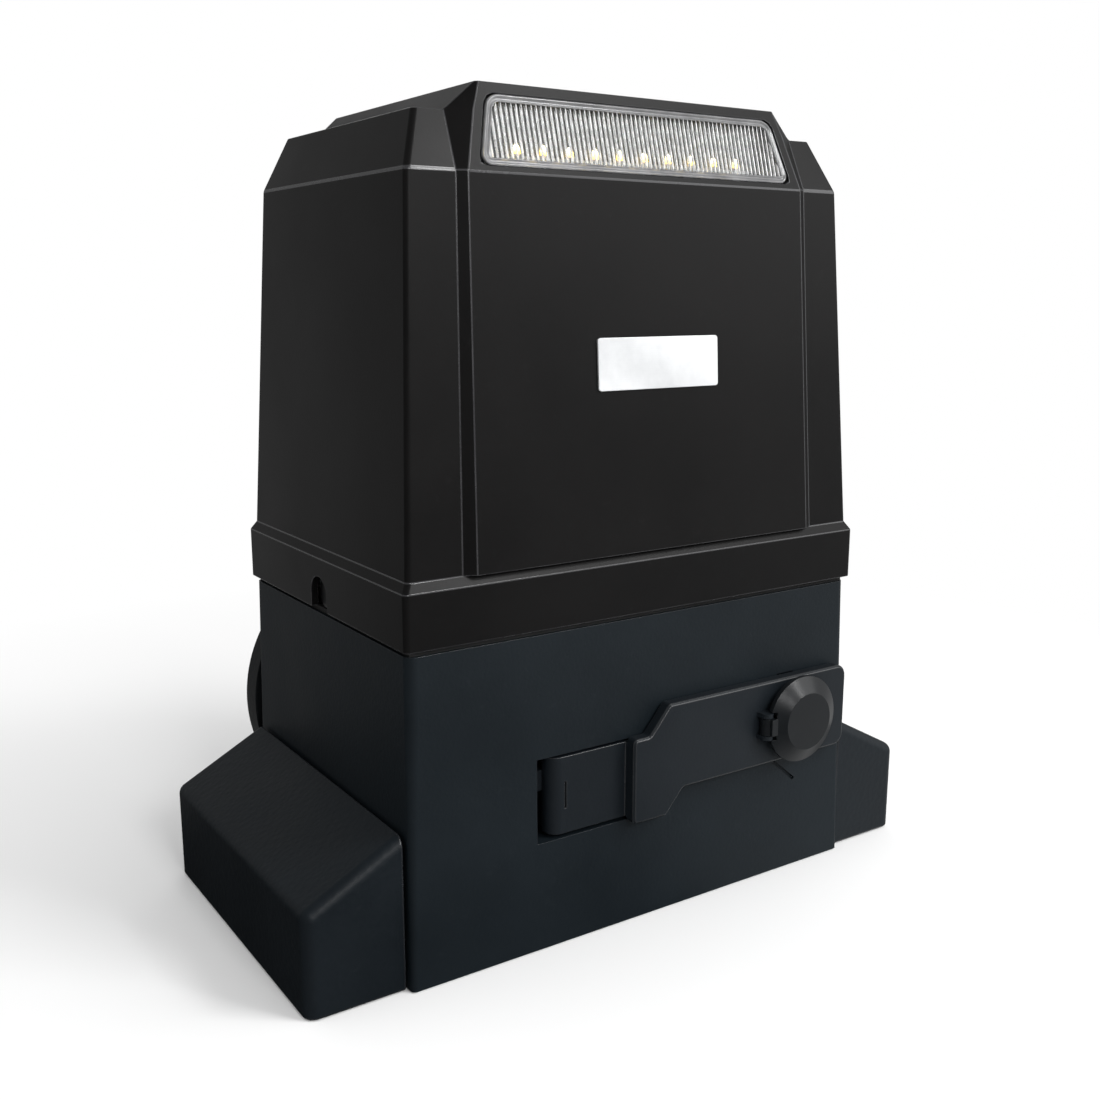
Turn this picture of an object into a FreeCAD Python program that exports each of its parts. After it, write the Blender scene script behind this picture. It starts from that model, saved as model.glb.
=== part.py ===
import FreeCAD, Part
import math
import os
import Sketcher

V = FreeCAD.Vector
doc = FreeCAD.newDocument("SlidingGateMotor")
sheet = doc.addObject("Spreadsheet::Sheet", "Sizes")


class Dim:
    """A length with its value and the spreadsheet formula that drives it."""

    def __init__(self, value, text):
        self.value, self.text = float(value), text

    def __add__(self, other):
        other = dim(other)
        return Dim(self.value + other.value, "(%s + %s)" % (self.text, other.text))

    def __sub__(self, other):
        other = dim(other)
        return Dim(self.value - other.value, "(%s - %s)" % (self.text, other.text))

    def __mul__(self, other):
        other = dim(other)
        return Dim(self.value * other.value, "(%s * %s)" % (self.text, other.text))

    def __truediv__(self, other):
        other = dim(other)
        return Dim(self.value / other.value, "(%s / %s)" % (self.text, other.text))

    def __neg__(self):
        return Dim(-self.value, "(0 - %s)" % self.text)

    def __radd__(self, other):
        return dim(other) + self

    def __rsub__(self, other):
        return dim(other) - self

    def __rmul__(self, other):
        return dim(other) * self


def dim(number):
    return number if isinstance(number, Dim) else Dim(number, "(%.6f)" % number)


row = [0]


def size(alias, value, note):
    """Write one driving size into the sheet and hand back its Dim."""
    row[0] += 1
    sheet.set("A%d" % row[0], note)
    sheet.set("B%d" % row[0], str(value))
    sheet.setAlias("B%d" % row[0], alias)
    return Dim(value, "Sizes." + alias)


# ---------------------------------------------------------------- sketches and features

PLANES = {"XY": ("XY_Plane", 1), "XZ": ("XZ_Plane", -1), "YZ": ("YZ_Plane", 1)}
nodes = []


def pin_point(sk, geo, pos, x, y):
    """Hold one sketch point at x, y from the sketch origin."""
    for kind, where in (("DistanceX", dim(x)), ("DistanceY", dim(y))):
        i = sk.addConstraint(Sketcher.Constraint(kind, -1, 1, geo, pos, where.value))
        sk.setExpression("Constraints[%d]" % i, where.text)


def set_radius(sk, geo, radius):
    i = sk.addConstraint(Sketcher.Constraint("Radius", geo, dim(radius).value))
    sk.setExpression("Constraints[%d]" % i, dim(radius).text)


def poly(*points):
    def draw(sk):
        pts = [(dim(x), dim(y)) for x, y in points]
        flat = [V(x.value, y.value, 0) for x, y in pts]
        first = sk.GeometryCount
        n = len(pts)
        for i in range(n):
            sk.addGeometry(Part.LineSegment(flat[i], flat[(i + 1) % n]), False)
        for i in range(n):
            sk.addConstraint(Sketcher.Constraint("Coincident", first + i, 2, first + (i + 1) % n, 1))
        for i in range(n):
            pin_point(sk, first + i, 1, *pts[i])
    return draw


def rect(x0, y0, x1, y1):
    return poly((x0, y0), (x1, y0), (x1, y1), (x0, y1))


def circle(x, y, radius):
    def draw(sk):
        g = sk.addGeometry(Part.Circle(V(dim(x).value, dim(y).value, 0), V(0, 0, 1), dim(radius).value), False)
        pin_point(sk, g, 3, x, y)
        set_radius(sk, g, radius)
    return draw


def rounded(x0, y0, x1, y1, radius):
    """A rectangle with round corners."""
    def draw(sk):
        r = dim(radius)
        xs, ys = (dim(x0), dim(x1)), (dim(y0), dim(y1))
        mids = [(xs[1] - r, ys[1] - r), (xs[0] + r, ys[1] - r), (xs[0] + r, ys[0] + r), (xs[1] - r, ys[0] + r)]
        arcs = []
        for k, (cx, cy) in enumerate(mids):
            ring = Part.Circle(V(cx.value, cy.value, 0), V(0, 0, 1), r.value)
            arcs.append(sk.addGeometry(Part.ArcOfCircle(ring, k * math.pi / 2, (k + 1) * math.pi / 2), False))
        for k in range(4):
            a, b = sk.Geometry[arcs[k]], sk.Geometry[arcs[(k + 1) % 4]]
            line = sk.addGeometry(Part.LineSegment(a.EndPoint, b.StartPoint), False)
            sk.addConstraint(Sketcher.Constraint("Tangent", arcs[k], 2, line, 1))
            sk.addConstraint(Sketcher.Constraint("Tangent", line, 2, arcs[(k + 1) % 4], 1))
        for g, (cx, cy) in zip(arcs, mids):
            pin_point(sk, g, 3, cx, cy)
            set_radius(sk, g, r)
    return draw


def slot(x, y, length, width, upright=False):
    """A round-ended slot about x, y, its length overall."""
    def draw(sk):
        r, half = dim(width) / 2, (dim(length) - width) / 2
        ends = [(dim(x), dim(y) + half), (dim(x), dim(y) - half)] if upright else \
               [(dim(x) + half, dim(y)), (dim(x) - half, dim(y))]
        turn = math.pi / 2 if upright else 0
        geo = []
        for k, (cx, cy) in enumerate(ends):
            ring = Part.Circle(V(cx.value, cy.value, 0), V(0, 0, 1), r.value)
            start = turn - math.pi / 2 + k * math.pi
            geo.append(sk.addGeometry(Part.ArcOfCircle(ring, start, start + math.pi), False))
        a, b = [sk.Geometry[g] for g in geo]
        top = sk.addGeometry(Part.LineSegment(a.EndPoint, b.StartPoint), False)
        low = sk.addGeometry(Part.LineSegment(b.EndPoint, a.StartPoint), False)
        for g1, p1, g2, p2 in ((geo[0], 2, top, 1), (top, 2, geo[1], 1), (geo[1], 2, low, 1), (low, 2, geo[0], 1)):
            sk.addConstraint(Sketcher.Constraint("Tangent", g1, p1, g2, p2))
        for g, (cx, cy) in zip(geo, ends):
            pin_point(sk, g, 3, cx, cy)
            set_radius(sk, g, r)
    return draw


def body(label):
    b = doc.addObject("PartDesign::Body", label)
    b.Label = label
    nodes.append(b)
    return b


def sketch(b, plane, level, loops, origin=(0, 0)):
    role, sign = PLANES[plane]
    sk = b.newObject("Sketcher::SketchObject", b.Label + "_sketch")
    sk.AttachmentSupport = [([f for f in b.Origin.OriginFeatures if f.Role == role][0], "")]
    sk.MapMode = "FlatFace"
    for axis, where in zip("xyz", (dim(origin[0]), dim(origin[1]), dim(level) * sign)):
        sk.setExpression("AttachmentOffset.Base." + axis, where.text)
    for loop in loops:
        loop(sk)
    return sk


def finish(b, feature, cuts):
    """Recompute and make sure the feature really added or removed material."""
    before = getattr(feature, "BaseFeature", None)
    was = before.Shape.Volume if before is not None and not before.Shape.isNull() else 0.0
    doc.recompute()
    if "Invalid" in feature.State or "Error" in feature.State or feature.Shape.isNull():
        raise RuntimeError("%s failed in %s" % (feature.Name, b.Label))
    change = feature.Shape.Volume - was
    if (change >= -1e-6) if cuts else (change <= 1e-6):
        raise RuntimeError("%s changed nothing in %s (%.4f)" % (feature.Name, b.Label, change))
    return feature


def pad(b, plane, lo, hi, *loops, origin=(0, 0)):
    f = b.newObject("PartDesign::Pad", b.Label + "_pad")
    sk = sketch(b, plane, lo, loops, origin)
    f.Profile = sk
    f.setExpression("Length", (dim(hi) - lo).text)
    f.Reversed = plane == "XZ"
    b.Tip = f
    return finish(b, f, False)


def pocket(b, plane, lo, hi, *loops, origin=(0, 0)):
    f = b.newObject("PartDesign::Pocket", b.Label + "_pocket")
    f.Profile = sketch(b, plane, lo, loops, origin)
    f.setExpression("Length", (dim(hi) - lo).text)
    f.Reversed = plane != "XZ"
    b.Tip = f
    return finish(b, f, True)


def turned(b, plane, level, axis, *loops, origin=(0, 0), cut=False):
    """Revolve a profile about the sketch's own H_Axis or V_Axis."""
    f = b.newObject("PartDesign::Groove" if cut else "PartDesign::Revolution", b.Label + "_turned")
    sk = sketch(b, plane, level, loops, origin)
    f.Profile = sk
    f.ReferenceAxis = (sk, [axis])
    f.Angle = 360.0
    b.Tip = f
    return finish(b, f, cut)


def loft(b, plane, sections, origin=(0, 0), cut=False):
    """Ruled loft through (level, loop) sections."""
    f = b.newObject("PartDesign::SubtractiveLoft" if cut else "PartDesign::AdditiveLoft", b.Label + "_loft")
    rings = [sketch(b, plane, level, [loop], origin) for level, loop in sections]
    f.Profile = rings[0]
    f.Sections = rings[1:]
    f.Ruled = True
    b.Tip = f
    return finish(b, f, cut)


def edges_of(shape, test):
    return ["Edge%d" % (i + 1) for i, e in enumerate(shape.Edges) if test(e)]


def dress(b, kind, amount, test):
    """Fillet or chamfer the edges of the tip that pass the test."""
    base = b.Tip
    names = edges_of(base.Shape, test)
    if not names:
        raise RuntimeError("no edges to %s on %s" % (kind, b.Label))
    f = b.newObject("PartDesign::" + kind, b.Label + "_" + kind.lower())
    f.Base = (base, names)
    f.setExpression("Radius" if kind == "Fillet" else "Size", dim(amount).text)
    b.Tip = f
    doc.recompute()
    if "Invalid" in f.State or f.Shape.isNull() or not f.Shape.isValid():
        raise RuntimeError("%s failed on %s" % (kind, b.Label))
    return f


def along(axis, low=None, high=None, span=None):
    """Edge test: straight, parallel to an axis, with its middle inside a box."""
    i = "XYZ".index(axis)

    def test(e):
        if len(e.Vertexes) < 2:
            return False
        d = e.Vertexes[1].Point - e.Vertexes[0].Point
        if abs(d[i]) < 0.9 * d.Length or e.Length > 1.001 * d.Length:
            return False
        c = e.CenterOfMass
        return all(c[k] > low[k] for k in range(3)) and all(c[k] < high[k] for k in range(3)) if low else True
    return test


def pattern(b, features, kind, reference, count, angle=None, length=None):
    f = b.newObject("PartDesign::" + kind, b.Label + "_pattern")
    f.Originals = features
    if kind == "PolarPattern":
        f.Axis = reference
        f.Angle = 360.0
    else:
        f.Direction = reference
        f.setExpression("Length", dim(length).text)
    f.setExpression("Occurrences", dim(count).text)
    b.Tip = f
    doc.recompute()
    if "Invalid" in f.State or f.Shape.isNull():
        raise RuntimeError("pattern failed on " + b.Label)
    return f


# ---------------------------------------------------------------- primitives

ROUND = {"X": (V(0, 1, 0), 90), "Y": (V(1, 0, 0), -90), "Z": (V(0, 0, 1), 0)}


def place(obj, x, y, z):
    for axis, where in zip("xyz", (x, y, z)):
        obj.setExpression("Placement.Base." + axis, dim(where).text)


def rod(axis, x, y, z, radius, length):
    """Part::Cylinder that starts at x, y, z and runs along +axis."""
    c = doc.addObject("Part::Cylinder", "rod")
    c.Placement = FreeCAD.Placement(V(0, 0, 0), FreeCAD.Rotation(*ROUND[axis]))
    c.setExpression("Radius", dim(radius).text)
    c.setExpression("Height", dim(length).text)
    place(c, x, y, z)
    return c


def block(x0, x1, y0, y1, z0, z1):
    """Part::Box between six limits."""
    c = doc.addObject("Part::Box", "block")
    c.setExpression("Length", (dim(x1) - x0).text)
    c.setExpression("Width", (dim(y1) - y0).text)
    c.setExpression("Height", (dim(z1) - z0).text)
    place(c, x0, y0, z0)
    return c


def boolean(kind, shapes):
    f = doc.addObject("Part::" + kind, kind)
    if kind in ("MultiFuse", "MultiCommon"):
        f.Shapes = shapes
    else:
        f.Base, f.Tool = shapes
    return f


def fuse(*shapes):
    return boolean("MultiFuse", list(shapes))


def cut(base, *tools):
    return boolean("Cut", [base, tools[0] if len(tools) == 1 else fuse(*tools)])


def group(label, shapes):
    """Several like solids that share one node."""
    if len(shapes) == 1:
        node = shapes[0]
    else:
        node = doc.addObject("Part::Compound", label)
        node.Links = shapes
    node.Label = label
    nodes.append(node)
    return node


# ---------------------------------------------------------------- driving sizes
# X runs across the front, Y from the front (-Y) to the gate side (+Y), Z up from the floor.

base_w = size("base_width", 210, "base across at the floor")
base_d = size("base_deep", 142, "base front to back at the floor")
lean_x = size("base_lean_side", 1.8, "how far each side leans in up to the rim")
lean_y = size("base_lean_front", 1.3, "how far front and back lean in up to the rim")
wall = size("base_wall", 4, "wall of the base")
floor_t = size("base_floor", 8, "floor of the base")
base_r = size("base_corner", 4, "upright corner radius of the base")
flange_reach = size("flange_reach", 34, "anchoring flange beyond the base side")
flange_set = size("flange_set_back", 11, "anchoring flange inside the base's front and back")
flange_d = base_d - flange_set * 2
flange_t = size("flange_thick", 10, "anchoring flange thickness")
slot_l = size("slot_long", 18, "anchor slot overall length")
slot_w = size("slot_wide", 9, "anchor slot width")
slot_x = base_w + flange_reach
slot_y = flange_d * 0.75
level_out = size("levelling_out", 9, "levelling screws beyond the base side")
level_x = base_w + level_out * 2
level_y = flange_d / 3
foot_rib_y = flange_d / 4 + 0.5
level_r = size("levelling_r", 4, "levelling screw radius")

reveal = size("reveal", 2, "shadow gap between base rim and cover")
skirt_proud = size("skirt_proud", 1.4, "cover skirt beyond the base rim")
skirt_h = size("skirt_high", 20, "height of the cover skirt")
ledge_h = size("ledge_high", 3.4, "rise of the sloping ledge above the skirt")
ledge_in = size("ledge_in", 2.1, "how far the ledge steps in")
wall_rise = size("cover_rise", 132.6, "height of the cover walls above the ledge")
wall_in_x = size("cover_lean_side", 6.7, "cover side walls lean in")
wall_in_y = size("cover_lean_front", 7.3, "cover front and back lean in")
roof_h = size("roof_high", 19.5, "height of the sloping roof edge")
roof_in_x = size("roof_in_side", 7.6, "roof edge steps in at the sides")
roof_in_y = size("roof_in_front", 8.7, "roof edge steps in front and back")
crown_h = size("crown_high", 9.55, "centre panel above the side roofs")
shell_t = size("cover_wall", 3, "wall of the cover")
cover_r = size("cover_corner", 2, "upright corner radius of the cover")
side_low = size("column_low", 28, "base side to centre panel at the ledge")
side_mid = size("column_mid", 31, "base side to centre panel at the roof line")
side_top = size("column_top", 38.85, "base side to centre panel at the crown")
face_low = base_w - side_low * 2
face_mid = base_w - side_mid * 2
face_top = base_w - side_top * 2
bevel_low = size("panel_bevel_low", 4.4, "width of the panel's side bevel at the ledge")
bevel_mid = size("panel_bevel_mid", 3.7, "width of the panel's side bevel at the roof line")
proud_low = size("panel_proud_low", 2.7, "centre panel in front of the wall at the ledge")
proud_mid = size("panel_proud_mid", 2, "centre panel in front of the wall at the roof line")
crown_in = size("crown_in", 8.2, "window slope runs back from roof line to crown")
notch_w = size("notch_wide", 14.5, "screw notch in the skirt")
notch_h = size("notch_high", 12.8, "screw notch height above the skirt's lower edge")
fit_gap = size("part_gap", 0.3, "gap between neighbouring loose parts")

win_side = size("window_side_low", 4.5, "centre panel beside the window, lower edge")
win_side_top = size("window_side_top", 2.65, "centre panel beside the window, upper edge")
win_half_low = face_mid / 2 - win_side
win_half_top = face_top / 2 - win_side_top
win_low = size("window_low", 1.8, "window lower edge above the roof line")
win_top = size("window_top", 3.6, "window upper edge below the crown")
lens_t = size("lens_thick", 2.6, "thickness of the light lens")
tray_depth = size("tray_deep", 9, "depth of the white light tray")
led_count = size("led_count", 10, "number of LEDs")
led_side = size("led_side", 11.65, "centre panel beyond the LED board, at the crown")
led_pitch = (face_top - led_side * 2) / led_count
led_size = size("led_size", 3.6, "side of one LED")
pcb_t = size("board_thick", 1.6, "thickness of the circuit boards")
badge_w = size("badge_wide", 55.2, "badge plate across")
badge_h = size("badge_high", 18.6, "badge plate height")
badge_z = size("badge_up", 59.5, "badge plate lower edge above the ledge")
badge_x = size("badge_shift", 2.6, "badge plate centre right of the middle")
badge_t = size("badge_thick", 0.8, "badge plate thickness")

foot_reach = size("foot_reach", 37.4, "foot cover outward of its inner edge")
foot_set = size("foot_set_back", 3.2, "foot cover inside the base's front and back")
foot_d = base_d - foot_set * 2
foot_in_h = size("foot_high_in", 58.3, "foot cover height at the base")
foot_out_h = size("foot_high_out", 38.4, "foot cover height at its outer edge")
foot_wall = size("foot_wall", 2.5, "foot cover wall")
foot_r = size("foot_round", 4.5, "rounded edges of the foot cover")
foot_gap = size("foot_gap", 0.6, "gap between base and foot cover")

module = size("worm_module", 3, "module of worm and wheel")
wheel_teeth = size("wheel_teeth", 28, "teeth of the worm wheel")
wheel_room = size("wheel_room", 2, "room round the worm wheel in the gear case")
case_wall = size("case_wall", 8, "wall of the gear case")
case_side = size("case_side", 8, "gear case inside the base's left side")
case_up = size("case_up", 1, "gear case above the base floor")
rim_over = size("rim_over", 2.5, "base rim above the gear case")
cavity_r = module * wheel_teeth / 2 + module + wheel_room
case_r = cavity_r + case_wall
out_x = -(base_w / 2 - case_r - case_side)
out_z = floor_t + case_up + case_r
base_h = out_z + case_r + rim_over
shaft_r = size("shaft_r", 12.5, "output shaft radius at the rear bearing")
nose_r = size("shaft_nose_r", 10, "output shaft radius at the front bearing")
bearing_w = size("bearing_wide", 12, "width of the output bearings")
case_floor = size("case_floor", 3, "front wall left under the front bearing")
wheel_front = size("wheel_front", 3, "front bearing in front of the worm wheel")
case_proud = size("case_proud", 5, "gear case beyond the base's back")
case_front = -(case_floor + bearing_w + wheel_front)
case_back = base_d / 2 + case_proud
cover_lap = size("gear_cover_lap", 7, "rear gear cover beyond the gear case")
flange_r = case_r + cover_lap
cover_t = size("gear_cover_thick", 13, "rear gear cover thickness")
wheel_w = size("wheel_wide", 24, "width of the worm wheel")
worm_pd = size("worm_pitch_r", 12, "worm pitch radius")
worm_turns = size("worm_turns", 5, "turns of the worm thread")
rack_module = size("rack_module", 4, "module of pinion and rack")
pinion_teeth = size("pinion_teeth", 16, "teeth of the pinion")
pinion_w = size("pinion_wide", 24, "width of the pinion teeth")
hub_l = size("pinion_hub", 5, "pinion hub in front of the teeth")
bearing_out = size("rear_bearing_r", 23.5, "outer radius of the rear bearing")
nose_out = size("front_bearing_r", 21, "outer radius of the front bearing")
worm_shaft_r = size("worm_shaft_r", 7.5, "worm shaft radius in its bearings")
worm_out = size("worm_bearing_r", 16, "outer radius of the worm bearings")
worm_bw = size("worm_bearing_wide", 9, "width of the worm bearings")
tower_r = size("tower_r", 22, "outer radius of the worm tower")
worm_room = size("worm_room", 1.5, "room around the worm thread")

deck_t = size("deck_thick", 3, "thickness of the deck plate")
motor_r = size("motor_r", 44, "motor radius")
stack_h = size("stack_high", 40, "height of the motor laminations")
bell_low = size("bell_low", 18, "height of the lower end bell")
bell_top = size("bell_top", 20, "height of the upper end bell")
bell_t = size("bell_wall", 3, "wall of the end bells")
rotor_r = size("rotor_r", 27, "rotor radius")
air_gap = size("air_gap", 0.5, "gap between rotor and stator")
fan_r = size("fan_r", 30, "radius of the motor fan")

recess_left = size("recess_left", 10.4, "lever recess left of the output shaft")
recess_right = size("recess_right", 44, "lever recess right of the output shaft")
recess_x0 = out_x - recess_left
recess_x1 = out_x + recess_right
recess_drop = size("recess_drop", 21.8, "floor of the lever recess below the output shaft")
recess_rise = size("recess_rise", 10.9, "ceiling of the lever recess above the output shaft")
recess_z0 = out_z - recess_drop
recess_z1 = out_z + recess_rise
recess_d = size("recess_deep", 26.5, "back wall of the lever recess behind the base's front")
pin_side = size("hinge_side", 4, "lever hinge right of the output shaft")
pin_in = size("hinge_in", 11, "lever hinge behind the base's front")
recess_y = -(base_d / 2 - recess_d)
pin_x = out_x + pin_side
pin_y = -(base_d / 2 - pin_in)
pin_r = size("hinge_pin_r", 3, "lever hinge pin radius")
lever_gap = size("lever_gap", 0.7, "gap between lever and base face")
plate_t = size("lever_plate", 5, "thickness of the raised lever plate")
arm_t = size("lever_arm", 6.4, "thickness of the lever arm in the recess")
arm_gap = size("arm_gap", 1, "gap above and below the arm")
arm_room = size("arm_room", 5.9, "gap between the recess and the arm's left end")
arm_x = recess_x0 + arm_room
raise_side = size("raised_side", 29.5, "raised plate right of the output shaft")
raise_x = out_x + raise_side
lever_side = size("lever_side", 5.5, "lever short of the base's right side")
lever_x1 = base_w / 2 - lever_side
lever_rise = size("lever_rise", 23, "upper edge of the lever plate above the output shaft")
lever_drop = size("lever_drop", 12.3, "lower edge of the plate's right end below the output shaft")
lever_z1 = out_z + lever_rise
lever_z0 = out_z - lever_drop
lock_side = size("lock_side", 35, "key cylinder inside the base's right side")
lock_x = base_w / 2 - lock_side
lock_rise = size("lock_rise", 5.8, "key cylinder above the output shaft")
lock_z = out_z + lock_rise
lock_r = size("lock_r", 11, "key cylinder radius")
lock_l = size("lock_long", 19, "key cylinder behind the lever plate")
collar_r = size("collar_r", 14.3, "collar round the key cylinder")
collar_h = size("collar_high", 5, "collar in front of the lever plate")
cap_r = size("cap_r", 18, "dust cap radius")
cap_flat_r = size("cap_flat_r", 11.8, "flat face of the dust cap")
cap_h = size("cap_high", 5.6, "dust cap height")
tongue_l = size("tongue_long", 30, "lock tongue overall")
tongue_w = size("tongue_wide", 5, "lock tongue width")
lift = size("clutch_travel", 4.5, "how far the lever moves the clutch")
cam_r = size("cam_r", 8, "release cam radius at rest")
cam_t = size("cam_thick", 8, "release cam thickness")
rod_r = size("push_rod_r", 4, "push rod radius")
clutch_r = size("clutch_r", 30, "clutch ring radius")
dog_h = size("dog_high", 4, "height of the clutch dogs")
dog_n = size("dog_count", 6, "number of clutch dogs")
spring_t = size("spring_thick", 1.2, "thickness of a disc spring")
spring_h = size("spring_deep", 5, "disc spring from inner to outer edge")
spring_leaves = size("spring_leaves", 8, "disc springs in the stack")
slide_fit = size("slide_fit", 0.08, "running fit of sliding and turning parts")
grommet_side = size("cable_side", 39, "cable entry inside the base's right side")
grommet_x = base_w / 2 - grommet_side
grommet_y = size("cable_y", -18, "cable entry front to back")
grommet_r = size("cable_r", 11, "cable entry bore radius")

screw_r = size("cover_screw_r", 2.5, "cover screw radius")
screw_l = size("cover_screw_long", 6, "cover screw thread in its lug")
rod_room = size("push_rod_room", 0.5, "room round the push rod")
lock_room = size("lock_room", 2, "room round the key cylinder in the base wall")
case_room = size("case_room", 0.8, "room round the gear case in the rear wall")
grommet_t = size("grommet_wall", 3, "wall of the cable grommet")
level_l = size("levelling_long", 13, "levelling screw length")
lip = size("grommet_lip", 2, "lip of the cable grommet")
head_r = size("cover_screw_head_r", 5, "cover screw head radius")
head_h = size("cover_screw_head", 2.4, "cover screw head height")
mark_l = size("front_mark_long", 15.6, "slanting groove in the base front")
mark_w = size("front_mark_wide", 1.5, "width of the slanting groove")
mark_d = size("front_mark_deep", 1.2, "depth of the slanting groove")
seal_in = size("seal_in", 1.4, "rim seal set back from the rim")
seal_w = size("seal_wide", 2, "rim seal width")

tower_drop = size("tower_drop", 42, "lower end of the worm tower below the output shaft")
tower_low = out_z - tower_drop
tower_floor = size("tower_floor", 4, "floor of the worm tower")
foot_half = size("case_foot_half", 30, "half width of the gear case feet")
foot_t = size("case_foot_thick", 12, "thickness of the gear case feet")
cover_screw_n = size("gear_screws", 6, "screws of the gear cover")
m5 = size("gear_screw_r", 2.5, "gear cover screw radius")
m5_l = size("gear_screw_depth", 14, "gear cover screw in the case")
spigot = size("gear_cover_spigot", 20, "spigot of the gear cover inside the case")
seal_l = size("oil_seal_wide", 7, "oil seal width")
seal_r = size("oil_seal_r", 20, "oil seal outer radius")
m5_head = size("gear_screw_head_r", 4.2, "gear cover screw head radius")
m5_high = size("gear_screw_head", 5, "gear cover screw head height")
m5_hex = size("gear_screw_socket", 2.2, "hexagon socket in the screw heads")
deck_edge = size("deck_edge", 2, "deck plate inside the base walls")
shaft_room = size("motor_shaft_room", 1.5, "room round the motor shaft")
bell_ear = size("bell_ear", 4.5, "radius of the end bell ears")
tie_r = size("tie_bolt_r", 2, "tie bolt radius")
seat = size("bell_seat", 3, "wall round the motor bearing")
winding = size("winding_high", 8, "winding overhang")
tie_head = size("tie_bolt_head", 3, "tie bolt head height")
core_side = size("core_side", 38, "transformer centre inside the base's left side")
core_x = -(base_w / 2 - core_side)
core_w = size("core_wide", 50, "transformer core across")
core_h = size("core_high", 44, "transformer core height")
core_t = size("core_thick", 30, "transformer stack thickness")
core_in = size("core_in", 60, "transformer centre behind the base's front")
core_y = -(base_d / 2 - core_in)
coil_out = size("coil_overhang", 7, "coil beyond the core, front and back")
cap_can_r = size("capacitor_r", 15, "start capacitor radius")
cap_can_h = size("capacitor_high", 72, "start capacitor height")
cap_side = size("capacitor_side", 29, "start capacitor inside the base's left side")
cap_x = -(base_w / 2 - cap_side)
cap_in = size("capacitor_in", 27, "start capacitor inside the base's back")
cap_y = base_d / 2 - cap_in
board_in = size("board_in", 25, "control board behind the base's front")
board_y = -(base_d / 2 - board_in)
board_side = size("board_side", 27, "control board inside the base's sides")
board_w = base_w - board_side * 2
board_h = size("board_high", 88, "control board height")
board_up = size("board_up", 6, "control board above the deck")
hole_in = size("board_hole_in", 5, "board fixing holes from its edges")
m3 = size("board_screw_r", 1.5, "board screw radius")
bracket_w = size("bracket_wide", 14, "width of the board brackets")
bracket_t = size("bracket_thick", 2, "thickness of the board brackets")
bracket_foot = size("bracket_foot", 12, "foot of the board brackets")
block_d = size("terminal_deep", 9, "depth of the terminal blocks")
block_h = size("terminal_high", 12, "height of the terminal blocks")
terminal_up = size("terminal_up", 10, "terminal blocks above the board's edge")
way = size("terminal_pitch", 5, "pitch of the terminal ways")
relay_w = size("relay_wide", 16, "relay width")
relay_h = size("relay_high", 20, "relay height")

neck_side = size("neck_side", 45.5, "where the lever widens, right of the output shaft")
neck_x = out_x + neck_side
plate_drop = size("plate_drop", 22.1, "lower edge of the plate's left end below the output shaft")
plate_rise = size("plate_rise", 11.9, "upper edge of the plate's left end above the output shaft")
lever_low2 = out_z - plate_drop
lever_mid = out_z + plate_rise
corner = size("lever_corner", 5, "rounded corners at the lever's free end")
soft = size("lever_soft", 2, "small roundings of the lever plate")
edge = size("lever_edge", 0.8, "bevel round the lever plate's face")
knuckle_r = size("knuckle_r", 6.5, "radius of the hinge knuckles")
knuckle_gap = size("knuckle_gap", 1, "gap between knuckles and cam")
mark_x = out_x + pin_side / 2
mark_h = size("mark_high", 10.5, "height of the mark")
cam_play = size("cam_play", 0.5, "play between cam and push rod")
key_r = size("key_plug_r", 6, "radius of the turning plug")
tongue_t = size("tongue_thick", 3, "lock tongue thickness")
key_h = size("keyway_high", 8, "keyway height")
key_w = size("keyway_wide", 1.6, "keyway width")
cap_hinge_in = size("cap_hinge_in", 0, "cap hinge inside the cap's left edge")
cap_gap = size("cap_gap", 3, "cap's open edge in front of the lever plate")
cap_hinge_r = size("cap_hinge_r", 1.2, "cap hinge pin radius")
cap_ear = size("cap_ear_r", 2.6, "cap hinge knuckle radius")
cap_room = size("cap_room", 1.2, "room between collar and cap")
knuckle_h = size("cap_knuckle_high", 3.4, "half height of the cap's knuckle")
ear_h = size("cap_ear_high", 1.8, "height of each ear on the lever")
ring_w = size("clutch_wide", 10, "clutch ring width")
pin_len_r = size("cross_pin_r", 3, "cross pin radius")
pinion_off = size("pinion_off", 2, "gap between gear cover and pinion hub")
key_t = size("key_high", 7, "key height")
key_b = size("key_wide", 8, "key width")
key_l = size("key_long", 20, "key length")
washer_t = size("washer_thick", 3, "pinion washer thickness")
washer_r = size("washer_r", 18, "pinion washer radius")
bolt_h = size("pinion_bolt_head", 6, "pinion bolt head height")
fan_up = size("fan_up", 4, "fan above the upper end bell")
fan_h = size("fan_high", 12, "fan blade height")
end_ring = size("end_ring", 4, "rotor end ring height")
blades = size("fan_blades", 9, "number of fan blades")

crown_cut = size("crown_cut", 1, "cut corners of the crown")
win_r = size("window_corner", 3, "corner radius of the light window")
lens_gap = size("lens_gap", 0.15, "gap round the lens")
tray_t = size("tray_wall", 1.6, "wall of the light tray")
led_mid = size("led_shift", -2, "LED row left of the middle")
strip_d = size("light_board_deep", 6, "depth of the LED board")
badge_r = size("badge_corner", 1.2, "corner radius of the badge plate")

doc.recompute()

# Levels and half sizes that several pieces share.
rim_z = base_h
skirt_z = base_h + reveal
skirt_top = skirt_z + skirt_h
ledge_z = skirt_top + ledge_h
roof_z = ledge_z + wall_rise
roof_top = roof_z + roof_h
crown_z = roof_top + crown_h


def base_x(z):
    return base_w / 2 - lean_x * z / base_h


def base_y(z):
    return base_d / 2 - lean_y * z / base_h


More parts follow.
